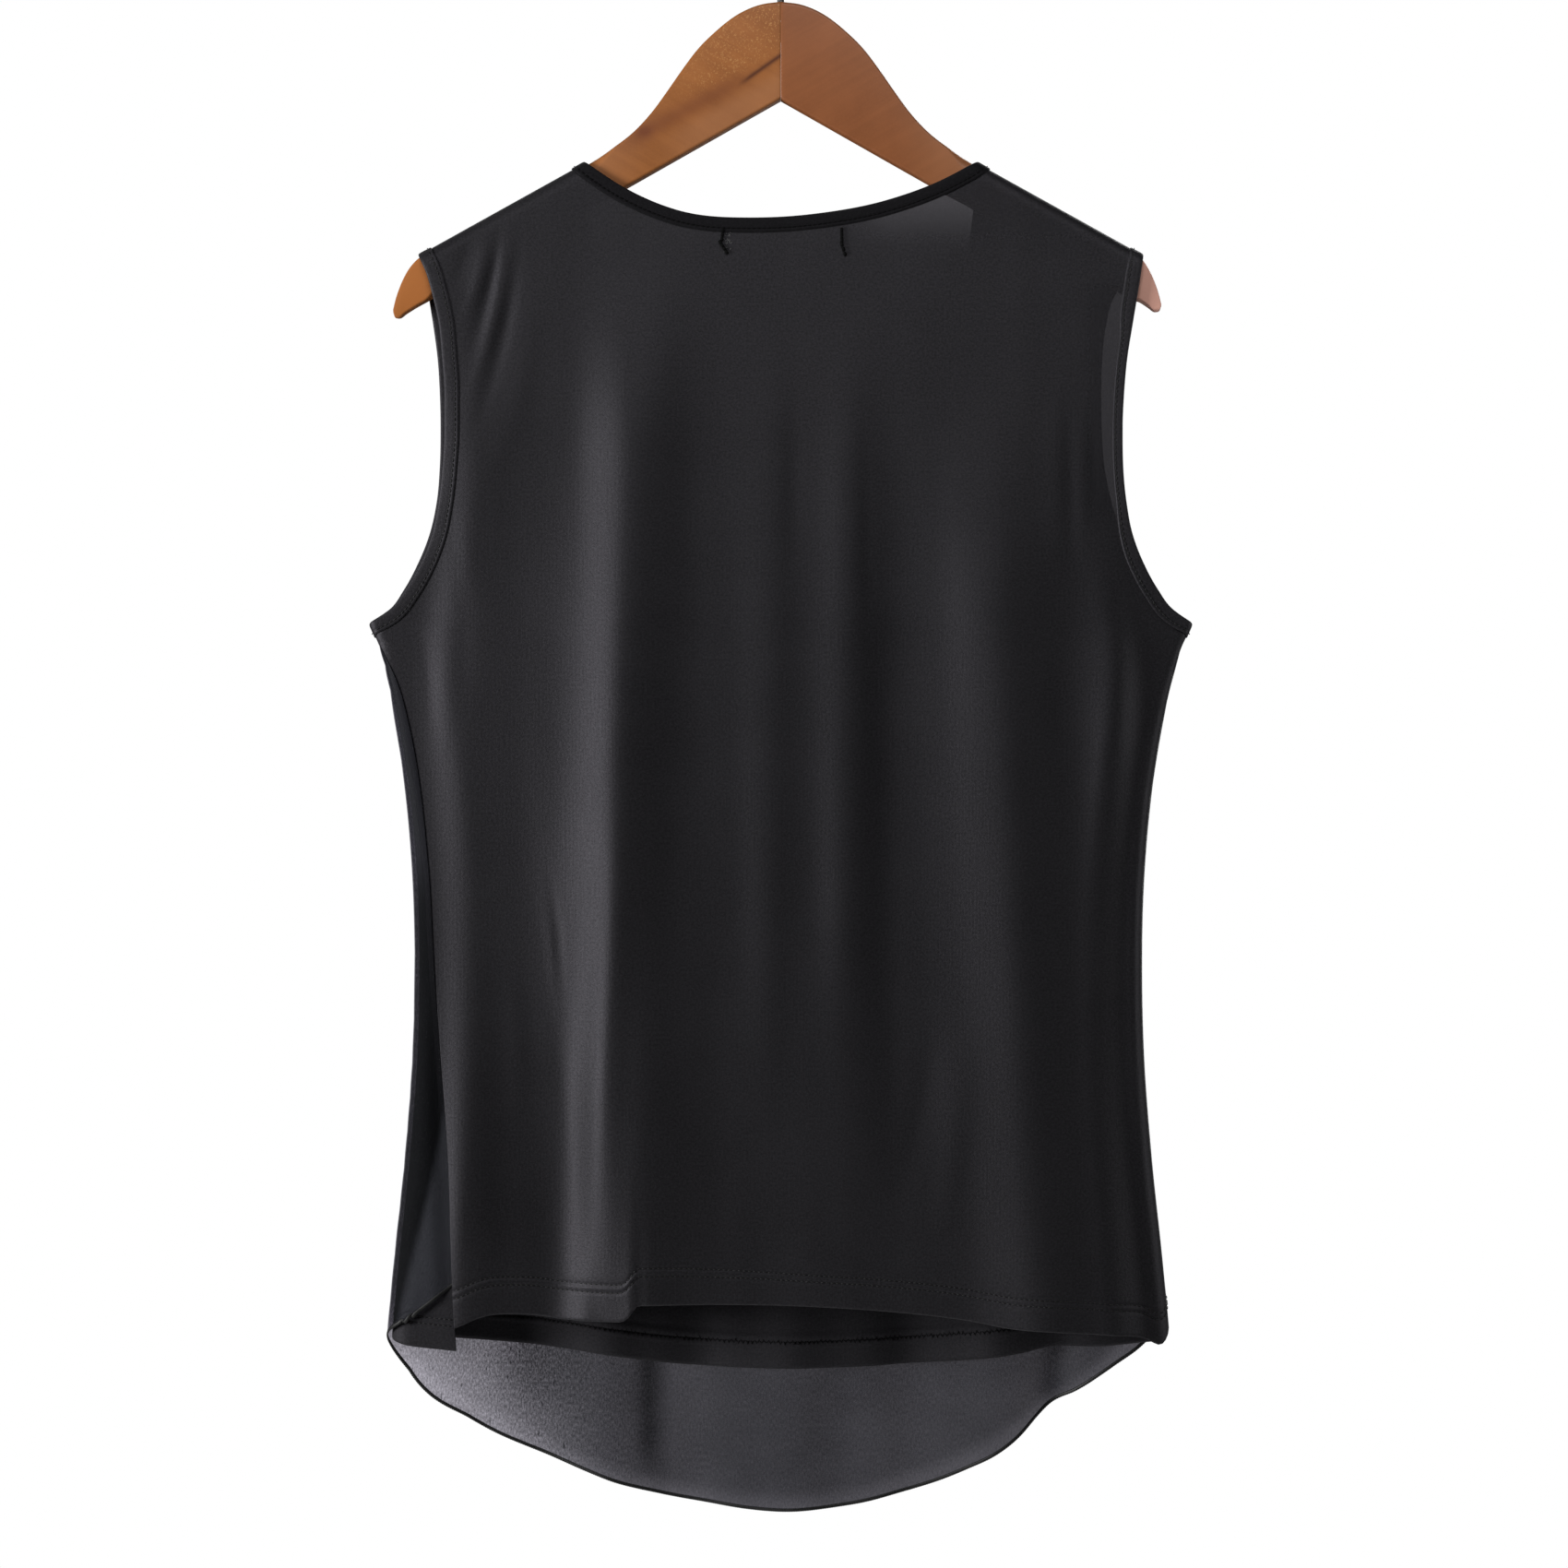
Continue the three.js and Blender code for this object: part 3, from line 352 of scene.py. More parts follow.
def body_point(side, folds, relief, across, down):
    """A point of the garment's surface.

    x is "across" up to the side's turn, which is half a circle of the side's radius, and then runs back.
    The depth is the radius, plus a bulge (1 - share^4)^2 towards the middle, plus the folds and the relief.
    At the shoulders it is multiplied by a quarter of a circle, for the roll over the hanger's arms.
    """
    across, down = np.broadcast_arrays(np.asarray(across, float), np.asarray(down, float))
    radius = side_radius(down)
    flat = side_out(down) - radius
    past = np.maximum(abs(across) - flat, 0)
    turn = np.minimum(past / radius, math.pi)
    turned = np.sign(across) * (flat + radius * np.sin(turn) - np.maximum(past - math.pi * radius, 0))
    x = np.where(past > 0, turned, across)
    share = np.minimum(abs(across) / bulge_out(down), 1)
    bulge = (middle_depth(down) - radius) * (1 - share**4) ** 2
    fine = relief(across, down)
    raised = folds_at(folds, across, down) * inside_sides(across, down) + fine
    depth = np.where(past > 0, (radius + fine) * np.cos(turn), radius + bulge + raised)
    below = np.clip((down - shoulder_top(x)) * SHOULDER_COS / SHOULDER_ROLL, 0, 1)
    rolled = np.maximum(depth * np.sqrt(1 - (1 - below) ** 2), SEAM_GAP / 2)
    depth = np.where(below < 1, rolled, depth)
    return point(x, side * depth, NECK_LEVEL - down)


def outwards(surface, side, across, down):
    """A surface's unit normal, from points a step to each side. At the shoulders it is square to them."""
    step = 0.3
    along_across = surface(across + step, down) - surface(across - step, down)
    along_down = surface(across, down + step) - surface(across, down - step)
    out = unit(np.cross(along_across, along_down) * side)
    upright = point(np.sign(across) * SHOULDER_SLOPE, 0, 1) * SHOULDER_COS
    return np.where((down < shoulder_top(across) + 0.1)[..., None], upright, out)


def facing(surface, side, places):
    """A surface's points at these places, and its normals there."""
    across, down = places[..., 0], places[..., 1]
    return surface(across, down), outwards(surface, side, across, down)


def hem_relief(hem, rows, across, down):
    """A hem's sewn rows: a narrow trough at each row of stitches, and a low ridge between the rows."""
    up = hem(across) - down
    first, second = (row(across) for row in rows)
    trough_deep, trough_wide, ridge_high, ridge_wide = 0.55, 0.9, 0.3, 1.1
    troughs = bell(up - first, trough_wide) + bell(up - second, trough_wide)
    return ridge_high * bell(up - (first + second) / 2, ridge_wide) - trough_deep * troughs


def row_height(left, right):
    """A row's height above its hem, which changes from one to another as "across" passes the middle."""
    return lambda across: mix(left, right, ease(across, -80, 30))


BACK_ROWS = row_height(16.5, 14), row_height(21, 17.5)
FRONT_ROWS = row_height(13.5, 13.5), row_height(17, 17)


def back_relief(across, down):
    fine = creases_at(BACK_CREASES, across, down) + 0.35 * unrest(across, down, 3)
    fine = fine + 0.2 * unrest(across * 2.6, down * 0.4, 5)
    return fine + hem_relief(back_hem, BACK_ROWS, across, down)


def front_relief(across, down):
    return 0.4 * unrest(across, down, 8) + hem_relief(front_hem, FRONT_ROWS, across, down)


def back_surface(across, down):
    return body_point(BACK, BACK_FOLDS, back_relief, across, down)


def front_surface(across, down):
    return body_point(FRONT, FRONT_FOLDS, front_relief, across, down)


def overlay_surface(across, down):
    """The overlay's middle: the front's, moved out by a small distance, its own folds and some ease.

    At the shoulders and the side seams, where it is sewn in, it lies on the front.
    """
    drape = folds_at(OVERLAY_FOLDS, across, down) * inside_sides(across, down)
    sides = ease(abs(across), *LOOSE_SIDES) * ease(down, UNDERARM, UNDERARM + LOOSE_UNDERARM)
    off = OVERLAY_OFF + drape + LOOSE_OFF * np.maximum(sides, ease(down, *LOOSE_HEM))
    below = ease(down - shoulder_top(across), *SEWN_FADE)
    seam = np.where(across < 0, seam_across(FRONT, LEFT, down), seam_across(FRONT, RIGHT, down))
    free = np.where(down < ARMHOLE_END, 1, ease(abs(seam - across), *SEWN_FADE)) * below
    off = mix(OVERLAY_SEWN, off, free)
    return front_surface(across, down) + outwards(front_surface, FRONT, across, down) * off[..., None]


SURFACES = {BACK: back_surface, FRONT: front_surface}


# ---- openings' edges ----


def neck_edge(side, angle):
    """The neck's edge as (across, down), left to right as the angle runs from 0 to pi."""
    across = -FRONT_NECK_HALF * np.cos(angle)
    down = back_neck(across) if side == BACK else FRONT_NECK_TOP + FRONT_NECK_DEPTH * np.sin(angle)
    return point(across, down)


def neck_stations(side, angle):
    """Points of the neck's edge, and the directions that lead away from the opening.

    A direction is square to the edge. Near the neck points it turns to lie along the shoulder.
    """
    step = 0.01
    before, after = np.maximum(angle - step, 0), np.minimum(angle + step, math.pi)
    tangent = neck_edge(side, after) - neck_edge(side, before)
    away = unit(point(-tangent[..., 1], tangent[..., 0]))
    hand = np.where(angle < math.pi / 2, LEFT, RIGHT)
    shoulder = point(hand * SHOULDER_COS, SHOULDER_SLOPE * SHOULDER_COS)
    near = 1 - ease(np.minimum(angle, math.pi - angle), 0, NECK_TURN)
    return neck_edge(side, angle), unit(mix(away, shoulder, near[..., None]))


def seam_start():
    """The side seams' "across" where they start, half way round the side's turn."""
    return side_out(UNDERARM) + side_radius(UNDERARM) * (math.pi / 2 - 1)


def armhole_stations(side, hand, down):
    """Points of an armhole's edge, and the directions that lead away from the opening, as for the neck.

    A direction shorter than 1 makes the binding narrower: the back's right one is turned in half way down.
    """
    out_at = armhole_out[side, hand]
    edge = point(hand * out_at(down), down)
    away = unit(point(-hand, out_at(down + 0.5) - out_at(down - 0.5)))
    up_shoulder = np.array([-hand * SHOULDER_COS, -SHOULDER_SLOPE * SHOULDER_COS])
    away = unit(mix(away, up_shoulder, 1 - ease(down, ARMHOLE_TOP, ARMHOLE_TOP + SHOULDER_TURN)[..., None]))
    to_seam = unit(np.array([hand * seam_start(), UNDERARM]) - edge)
    away = unit(mix(away, to_seam, ease(down, ARMHOLE_END - UNDERARM_TURN, ARMHOLE_END)[..., None]))
    if (side, hand) == (BACK, RIGHT):
        away = away * (1 - NARROWED * ease(down, *NARROW_FROM) * (1 - ease(down, *NARROW_TO)))[..., None]
    return edge, away


def seam_across(side, hand, down):
    """A side seam's "across" on one side of the cloth, which runs on round the side into the other's."""
    radius = side_radius(down)
    flat = side_out(down) - radius
    inwards = seam_in[hand](down)
    turn = np.sign(inwards) * (math.pi / 2 - np.arcsin(np.clip(1 - abs(inwards) / radius, 0, 1)))
    beyond = np.maximum(inwards - radius, 0)
    on_back = flat + radius * (math.pi / 2 - turn) - beyond
    on_front = flat + radius * (math.pi / 2 + turn) + beyond
    return hand * ((on_back if side == BACK else on_front) - SEAM_GAP / 2)


# ---- meshes ----


def grid_faces(rows, columns, across_closed=False, down_closed=False):
    """Quads of a grid of points, numbered row by row, which may close on itself either way."""
    i = np.arange(rows if down_closed else rows - 1)[:, None]
    j = np.arange(columns if across_closed else columns - 1)[None, :]
    i2, j2 = (i + 1) % rows, (j + 1) % columns
    corners = (i * columns + j, i2 * columns + j, i2 * columns + j2, i * columns + j2)
    return point(*corners).reshape(-1, 4)


def end_fans(rings, sides):
    """A fan of triangles over each end of a tube. The ends' middles are numbered after the rings' points."""
    here = np.arange(sides)
    following = np.roll(here, -1)
    middle, last = rings * sides, (rings - 1) * sides
    return np.concatenate([point(middle, following, here), point(middle + 1, here + last, following + last)])


def faced_out(points, groups):
    """The faces of a closed mesh, turned round if its volume would otherwise be below zero."""
    middle = points.mean(axis=0)
    volume = 0
    for faces in groups:
        a, b, c, d = (points[faces[:, k]] - middle for k in (0, 1, 2, -1))
        volume += (a * (np.cross(b, c) + np.cross(c, d))).sum()
    return [faces[:, ::-1] for faces in groups] if volume < 0 else groups


def make(name, points, groups, finish, uv=None):
    """A smooth mesh object from points in millimetres and groups of equal faces, with a UV for each point."""
    points = points.reshape(-1, 3)
    groups = faced_out(points, groups)
    corners = np.concatenate([faces.ravel() for faces in groups])
    sizes = np.concatenate([np.full(len(faces), faces.shape[1]) for faces in groups])
    mesh = bpy.data.meshes.new(name)
    mesh.vertices.add(len(points))
    mesh.vertices.foreach_set("co", (points / 1000).ravel())
    mesh.loops.add(len(corners))
    mesh.loops.foreach_set("vertex_index", corners)
    mesh.polygons.add(len(sizes))
    mesh.polygons.foreach_set("loop_start", np.cumsum(sizes) - sizes)
    mesh.update(calc_edges=True)
    mesh.polygons.foreach_set("use_smooth", np.ones(len(sizes), bool))
    if uv is not None:
        layer = mesh.uv_layers.new(name="cloth")
        layer.data.foreach_set("uv", (uv.reshape(-1, 2)[corners] / 1000).ravel())
    mesh.materials.append(finish)
    made = bpy.data.objects.new(name, mesh)
    bpy.context.scene.collection.objects.link(made)
    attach(made, "root")
    return made


def skin(name, sections, finish):
    """A closed skin over equal sections one after another, with a fan of triangles over each end."""
    rings, sides = sections.shape[:2]
    points = np.concatenate([sections.reshape(-1, 3), sections[[0, -1]].mean(axis=1)])
    return make(name, points, [grid_faces(rings, sides, across_closed=True), end_fans(rings, sides)], finish)


def tube(name, line, aside, up, wide, high, finish):
    """A closed tube round a line. Each ring's points are so far aside of the line and so far up from it."""
    rings = line[:, None] + aside[:, None] * wide[..., None] + up[:, None] * high[..., None]
    return skin(name, rings, finish)


def wall(name, outer, inner, finish, uv):
    """A closed wall between a grid of outer points and the inner ones behind it, with quads round its rim."""
    rows, columns = outer.shape[:2]
    behind = rows * columns
    faces = grid_faces(rows, columns)
    number = np.arange(behind).reshape(rows, columns)
    rim = np.concatenate([number[0, :-1], number[:-1, -1], number[-1, :0:-1], number[:0:-1, 0]])
    following = np.roll(rim, -1)
    edge = point(rim, following, following + behind, rim + behind)
    faces = np.concatenate([faces, faces[:, ::-1] + behind, edge])
    return make(name, np.concatenate([outer, inner]), [faces], finish, np.concatenate([uv, uv]))


# ---- cloth panels ----


def way_along(line):
    """How far along a polyline each of its points lies."""
    return np.cumsum(np.linalg.norm(np.diff(line, axis=0, prepend=line[:1]), axis=-1))


def along_line(line, shares):
    """Points of a polyline at these shares of its length."""
    way = way_along(line)
    return point(*(np.interp(shares * way[-1], way, part) for part in line.T))


def even_along(line, count):
    """A polyline's points, placed again at even distances along it."""
    return along_line(line, np.linspace(0, 1, count))


EDGE_SHARE = 0.0005  # of the panel's width, to the column beside its edge
HEM_PITCH, HEM_RISE = 1.1, 3  # between the rows at a hem, which start this far above the turned cloth


def panel_grid(side, hem, columns, pitch):
    """A panel's places as a grid of (across, down).

    Down to the underarms, the top edge is blended into the straight underarm line. Each armhole's distance
    from that blend is added and fades across, near the top before it reaches the neck. Below, each row is
    spread evenly between the side seams, and each column runs straight to the hem. Rows crowd where the
    shoulders roll and at the hem. A column close to each edge keeps it square.
    """
    off = BINDING_WIDTH - TUCKED
    roll = SHOULDER_ROLL / SHOULDER_COS * (1 - np.cos(np.linspace(0, math.pi / 2, 9)))
    levels = np.append(roll, np.arange(roll[-1] + pitch, ARMHOLE_END - ARMHOLE_TOP, pitch)) + ARMHOLE_TOP
    sides = {}
    for hand in HANDS:
        edge, away = armhole_stations(side, hand, np.append(levels, ARMHOLE_END))
        sides[hand] = edge + away * off
    edge, away = neck_stations(side, np.linspace(0, math.pi, 400))
    neck = edge + away * off
    share = np.linspace(0, 1, columns - 2)
    share = np.concatenate([[0, EDGE_SHARE], share[1:-1], [1 - EDGE_SHARE, 1]])
    top = along_line(np.concatenate([sides[LEFT][:1], neck, sides[RIGHT][:1]]), share)
    neck_share = share[np.searchsorted(top[:, 0], neck[0, 0])]

    def spread(down):
        return mix(seam_across(side, LEFT, down), seam_across(side, RIGHT, down), share)

    line = point(spread(UNDERARM), UNDERARM)
    left, right = sides[LEFT], sides[RIGHT]
    left[-1], right[-1] = line[0], line[-1]
    lower = ((left[:, 1] - left[0, 1]) / (left[-1, 1] - left[0, 1]))[:, None, None]
    upper = mix(top[None], line[None], lower)
    pulls = [(left - upper[:, 0], 1 - share), (right - upper[:, -1], share)]
    for pull, near in pulls:
        near = near[None, :, None]
        reach = mix(np.maximum(1 - (1 - near) / neck_share, 0), near, ease(lower, 0, 1))
        upper = upper + pull[:, None] * reach
    foot = np.full(columns, float(hem(0.0)))
    for _ in range(12):  # a column's foot is on the hem, whose "across" depends on it
        foot = hem(spread(foot))
    near_hem = np.arange(HEM_WIDTH + HEM_RISE, 0, -HEM_PITCH)
    count = int((foot.mean() - near_hem[0] - UNDERARM) / pitch)
    body = np.linspace(UNDERARM, foot - near_hem[0], count)[1:]
    under = np.concatenate([body, foot - near_hem[1:, None], foot[None]])
    across = np.array([spread(row) for row in under])
    return np.concatenate([upper, point(across, under)])


def kept_from_seam(points, side, down):
    """Keeps a wall's points on their own side of the shoulder seam."""
    y = side * np.maximum(side * points[..., 1], SEAM_GAP / 2)
    points[..., 1] = np.where(down < UNDERARM / 2, y, points[..., 1])
    return points


def cloth(name, side, surface, hem, thick, turned, finish):
    """A panel: its grid moved half its thickness out and in, and closed. A turned hem is thicker inside."""
    places = panel_grid(side, hem, columns=160, pitch=3.0)
    across, down = places[..., 0], places[..., 1]
    middle, normal = facing(surface, side, places)
    up = hem(across) - down
    deep = thick / 2 + (HEM_EXTRA * (1 - ease(up, HEM_WIDTH - 1.2, HEM_WIDTH + 1.2)) if turned else 0 * up)
    rounded = np.sqrt(np.clip(up / (thick * 0.7), 0.06, 1))  # the fold at the hem's edge
    outer = kept_from_seam(middle + normal * (thick / 2 * rounded)[..., None], side, down)
    inner = kept_from_seam(middle - normal * (deep * rounded)[..., None], side, down)
    return wall(name, outer, inner, finish, places)


# ---- bindings ----

# A binding's section: how far from the opening's edge, and how far out as a share of half its thickness.
BINDING_SECTION = table(
    "along out",
    (0.0, 0.0), (0.1, 0.42), (0.45, 0.78), (1.1, 0.98), (2.4, 1.02), (4.2, 1.0), (5.6, 0.96),
    (6.3, 0.78), (7.0, 0.97), (7.9, 0.9), (8.5, 0.55), (8.5, -0.6), (6.0, -0.9), (1.1, -0.98),
    (0.45, -0.78), (0.1, -0.42),
)


def binding_ring(side, edge, away, closing):
    """A binding's sections on one side of the garment: points along "away", moved out along the normal."""
    along, out = BINDING_SECTION["along"], BINDING_SECTION["out"] * BINDING_THICK / 2 + BINDING_PROUD
    place = edge[:, None] + away[:, None] * along[:, None]
    points, normal = facing(SURFACES[side], side, place)
    if closing:
        normal[[0, -1], :, 1] = points[[0, -1], :, 1] = 0
        normal = unit(normal)
    return points + normal * out[:, None]


def binding(name, rim, finish):
    """A binding right round an opening: the back's sections one after another, then the front's."""
    behind = binding_ring(BACK, *rim(BACK), closing=True)
    before = binding_ring(FRONT, *rim(FRONT), closing=False)[1:-1][::-1]
    rings = np.concatenate([behind, before])
    uv = point(way_along(rings[:, 0])[:, None], BINDING_SECTION["along"])
    faces = grid_faces(*rings.shape[:2], across_closed=True, down_closed=True)
    return make(name, rings, [faces], finish, uv)


NECK_ANGLES = math.pi * (0.5 - 0.5 * np.cos(np.linspace(0, math.pi, 181)))
ARMHOLE_LEVELS = ARMHOLE_TOP + np.concatenate(
    [
        10 * np.linspace(0, 1, 13)[:-1] ** 2,
        np.arange(10, ARMHOLE_END - ARMHOLE_TOP - 5, 2.2),
        ARMHOLE_END - ARMHOLE_TOP - np.linspace(4, 0, 8),
    ]
)


def neck_rim(side):
    """The neck's stations on one side of the garment."""
    return neck_stations(side, NECK_ANGLES)


def armhole_rim(hand):
    """An armhole's stations, as a function of the side of the garment."""
    return lambda side: armhole_stations(side, hand, ARMHOLE_LEVELS)


# ---- sewing ----

# One stitch's rings: places as shares of half its length, heights and radii as shares of the thread's radius.
STITCH = table(
    "along height radius",
    (-1, -0.9, 0.45),
    (-0.75, 0.35, 0.95),
    (0, 0.8, 1),
    (0.75, 0.35, 0.95),
    (1, -0.9, 0.45),
)
STITCH_SIDES = 6


def stitches(name, middles, tangents, normals, length, radius, finish):
    """Many stitches in one mesh: each is the rings of STITCH along its tangent, arched along its normal."""
    tangents = unit(tangents)
    asides = unit(np.cross(tangents, normals))
    ups = np.cross(asides, tangents)
    turn = circle(STITCH_SIDES)[:, None]
    along, high, ring = (STITCH[part][:, None, None] for part in ("along", "height", "radius"))
    t, a, u, middles = (v[:, None, None] for v in (tangents, asides, ups, middles))
    arch = radius * (a * ring * np.cos(turn) + u * (high + ring * np.sin(turn)))
    points = middles + t * along * length / 2 + arch
    count, rings = points.shape[:2]
    each = rings * STITCH_SIDES
    points = np.concatenate([points.reshape(count, each, 3), points[:, [0, -1]].mean(axis=2)], axis=1)
    start = (np.arange(count) * (each + 2))[:, None, None]
    quads = grid_faces(rings, STITCH_SIDES, across_closed=True) + start
    caps = end_fans(rings, STITCH_SIDES) + start
    return make(name, points, [quads.reshape(-1, 4), caps.reshape(-1, 3)], finish)


def on_cloth(surface, side, places, lift):
    """Points at "lift" from a surface, with their tangents along the places and the normals on that side."""
    points, normal = facing(surface, side, places)
    points = points + normal * lift
    return points, np.gradient(points, axis=0), normal * np.sign(lift)


def sewn_rows(name, rows, finish, spacing=2.8, length=2.3, radius=0.26):
    """Rows of stitches. A row is a surface, its side, a dense line of (across, down) and the lift over it."""
    parts = []
    for surface, side, line, lift in rows:
        count = max(int(way_along(line)[-1] / spacing), 2)
        parts.append(on_cloth(surface, side, even_along(line, count), lift))
    middles, tangents, normals = map(np.concatenate, zip(*parts))
    return stitches(name, middles, tangents, normals, length, radius, finish)


def hem_line(hem, up, start, end):
    """A line at "up" above a hem, as (across, down)."""
    across = np.linspace(start, end, 400)
    return point(across, hem(across) - up(across))


LOOPERS, LOOPERS_TO, LOOPERS_UP = 300, 196, 15.2


def looper_row(name, finish):
    """The looped threads inside the front's hem: stitches that slant to and fro between the two rows."""
    draw = np.random.default_rng(11)
    middle = row_height(LOOPERS_UP, LOOPERS_UP)
    line = even_along(hem_line(front_hem, middle, -LOOPERS_TO, LOOPERS_TO), LOOPERS)
    line[:, 1] += draw.normal(0, 0.25, LOOPERS)
    lift = JERSEY / 2 + HEM_EXTRA + 0.15
    points, along, normal = on_cloth(front_surface, FRONT, line, -lift)
    aside = np.cross(unit(along), normal)
    turn = np.where(np.arange(LOOPERS) % 2, 1, -1) * draw.uniform(0.7, 1.2, LOOPERS)
    tangents = unit(along) * np.cos(turn)[:, None] + aside * np.sin(turn)[:, None]
    return stitches(name, points, tangents, normal, length=4.2, radius=0.18, finish=finish)


def serged_edge(name, finish):
    """The overlay's rolled hem: a cord round its edge, which swells once for each turn of the thread."""
    meets_seams, inset, turn_length, half_high, half_wide = np.array(636.0), 0.6, 1.3, 0.5, 1.0
    start, end = (seam_across(FRONT, hand, meets_seams) - hand * inset for hand in HANDS)
    across = np.linspace(start, end, 3000)
    line = even_along(point(across, overlay_hem(across)), 1500)
    points, normal = facing(overlay_surface, FRONT, line)
    aside = unit(np.cross(unit(np.gradient(points, axis=0)), normal))
    angle = circle(8)
    swell = 1 + 0.1 * np.sin(2 * math.pi * way_along(points)[:, None] / turn_length + angle)
    wide, high = half_wide * swell * np.cos(angle), half_high * swell * np.sin(angle)
    return tube(name, points, aside, normal, wide, high, finish)


# ---- hanger ----

HUMP = table(
    "out down",
    (0, -91), (12, -89.2), (24, -84), (37, -74), (47, -64), (56, -52), (64, -40.5), (72, -29.5),
    (82, -18.5), (94, -9),
)
HANGER_TIP = table(
    "out top under",
    (206, 55.2, 81),
    (211, 61.8, 84.2),
    (215, 70.5, 86.8),
    (217.4, 78, 86.4),
    (218.2, 81.5, 84.2),
)
ARM_OUTS = np.array([107, 135, 165, 190, 198.0])
ARM_GAP = 1.4  # between the arm and the shoulders' line
JOINT_GAP = 0.04
CHAMFER_DEEP, CHAMFER_LONG = 0.3, 0.5  # at the joint
TIP_SHORTER, TIP_RISE, TIP_UNDER_RISE = 4, 0.7, 0.9  # the right arm's tip, and how its edges rise with it
RING_PITCH, TIP_START, TIP_CROWD = 2.5, 200, 1.8  # the rings crowd from the tip's start to its end
UNDER_START, UNDER_SLOPE = -36, 0.568
HALF_THICK, TIP_HALF_THICK, THIN_FROM = 6, 4.2, 190
# The radius of the arm's edges: small where the wood is bare, large under the cloth that rolls over it.
EDGE_RADIUS = table(
    "out across down",
    (0, 2.0, 2.0),
    (92, 2.0, 2.0),
    (104, 5.6, 7.5),
    (192, 5.6, 7.5),
    (200, 2.0, 1.8),
    (219, 2.0, 1.8),
)
CORNER_POINTS = 9
MOST_ROUND = 0.92  # of the half thickness or half height


def hanger_half(name, hand, finish):
    """Half of the hanger: upright sections with four elliptical corners, from the middle joint to the tip."""
    shorter = TIP_SHORTER if hand == RIGHT else 0
    tip_outs = HANGER_TIP["out"] - shorter
    arm_down = shoulder_top(ARM_OUTS) + ARM_GAP
    top_at = curve(
        np.concatenate([HUMP["out"], ARM_OUTS, tip_outs]),
        np.concatenate([HUMP["down"], arm_down, HANGER_TIP["top"] - shorter * TIP_RISE]),
    )
    low_outs = np.append([0, 50, 80], ARM_OUTS)
    low_down = UNDER_START + UNDER_SLOPE * low_outs
    under_at = curve(
        np.append(low_outs, tip_outs),
        np.append(low_down, HANGER_TIP["under"] - shorter * TIP_UNDER_RISE),
    )
    tip = tip_outs[-1]
    joint = JOINT_GAP / 2 + np.array([0, 0.12, 0.35, 0.7])
    near_tip = tip - (tip - TIP_START) * np.linspace(1, 0, 40) ** TIP_CROWD
    outs = np.concatenate([joint, np.arange(3, TIP_START - 1, RING_PITCH), near_tip])
    top, under = top_at(outs), under_at(outs)
    chamfer = CHAMFER_DEEP * np.clip(1 - (outs - joint[0]) / CHAMFER_LONG, 0, 1)
    half = mix(HALF_THICK, TIP_HALF_THICK, ease(outs, THIN_FROM, tip)) - chamfer
    across = np.minimum(through(EDGE_RADIUS, "out", "across")(outs), half * MOST_ROUND)
    deep = np.minimum(through(EDGE_RADIUS, "out", "down")(outs), (under - top) / 2 * MOST_ROUND)
    turn = np.linspace(0, math.pi / 2, CORNER_POINTS)
    angle = np.concatenate([turn - math.pi / 2, turn, turn + math.pi / 2, turn + math.pi])
    sign_y = np.repeat([1, 1, -1, -1], CORNER_POINTS)
    low = np.repeat([0, 1, 1, 0], CORNER_POINTS)
    y = sign_y * (half - across)[:, None] + across[:, None] * np.cos(angle)
    centre = np.where(low, (under - deep)[:, None], (top + deep)[:, None])
    z = NECK_LEVEL - (centre + deep[:, None] * np.sin(angle))
    return skin(name, point(hand * outs[:, None], y, z), finish)


HOOK_WIRE, HOOK_BEND, HOOK_START, HOOK_END, HOOK_LEAN = 2, 24, 214, -34, 13
SHANK_TOP, SHANK_FOOT = -64, -97
# The rings of the rounded tip: how far each lies beyond the wire's end, and the sine of its turn inwards.
HOOK_TIP = table("beyond sine", (0.54, 0.15), (0.99, 0.45), (1.35, 0.95))


def hook_wire(name, finish):
    """The hook: a round wire up a shank, along a cubic Bezier curve that leans over, and round a circle."""

    def bend(degrees):
        angle = np.radians(degrees)
        return point(HOOK_BEND * np.cos(angle), HOOK_WIRE - HOOK_BEND + HOOK_BEND * np.sin(angle))

    start = bend(HOOK_START)
    ahead = unit(bend(HOOK_START - 1) - start)
    up_shank = np.array([[0, SHANK_TOP], [0, SHANK_TOP + HOOK_LEAN]])
    corners = (*up_shank, start - ahead * HOOK_LEAN, start)
    t = np.linspace(0, 1, 24)[:, None]
    weights = ((1 - t) ** 3, 3 * t * (1 - t) ** 2, 3 * t * t * (1 - t), t**3)
    lean = sum(weight * corner for weight, corner in zip(weights, corners))
    shank = np.array([[0, SHANK_FOOT], [0, (SHANK_FOOT + SHANK_TOP) / 2]])
    line = np.concatenate([shank, lean, bend(np.linspace(HOOK_START, HOOK_END, 80))[1:]])
    ahead = unit(np.gradient(line, axis=0))
    radius = np.append(np.full(len(line), HOOK_WIRE), HOOK_WIRE * np.sqrt(1 - HOOK_TIP["sine"] ** 2))[:, None]
    line = np.concatenate([line, line[-1] + ahead[-1] * HOOK_TIP["beyond"][:, None]])
    ahead = np.concatenate([ahead, np.repeat(ahead[-1:], len(line) - len(ahead), axis=0)])
    angle = circle(20)
    middle, aside = point(line[:, 0], 0, line[:, 1]), point(ahead[:, 1], 0, -ahead[:, 0])
    wide, high = radius * np.cos(angle), radius * np.sin(angle)
    return tube(name, middle, aside, point(0 * line[:, 0], 1, 0), wide, high, finish)


# ---- finishes ----


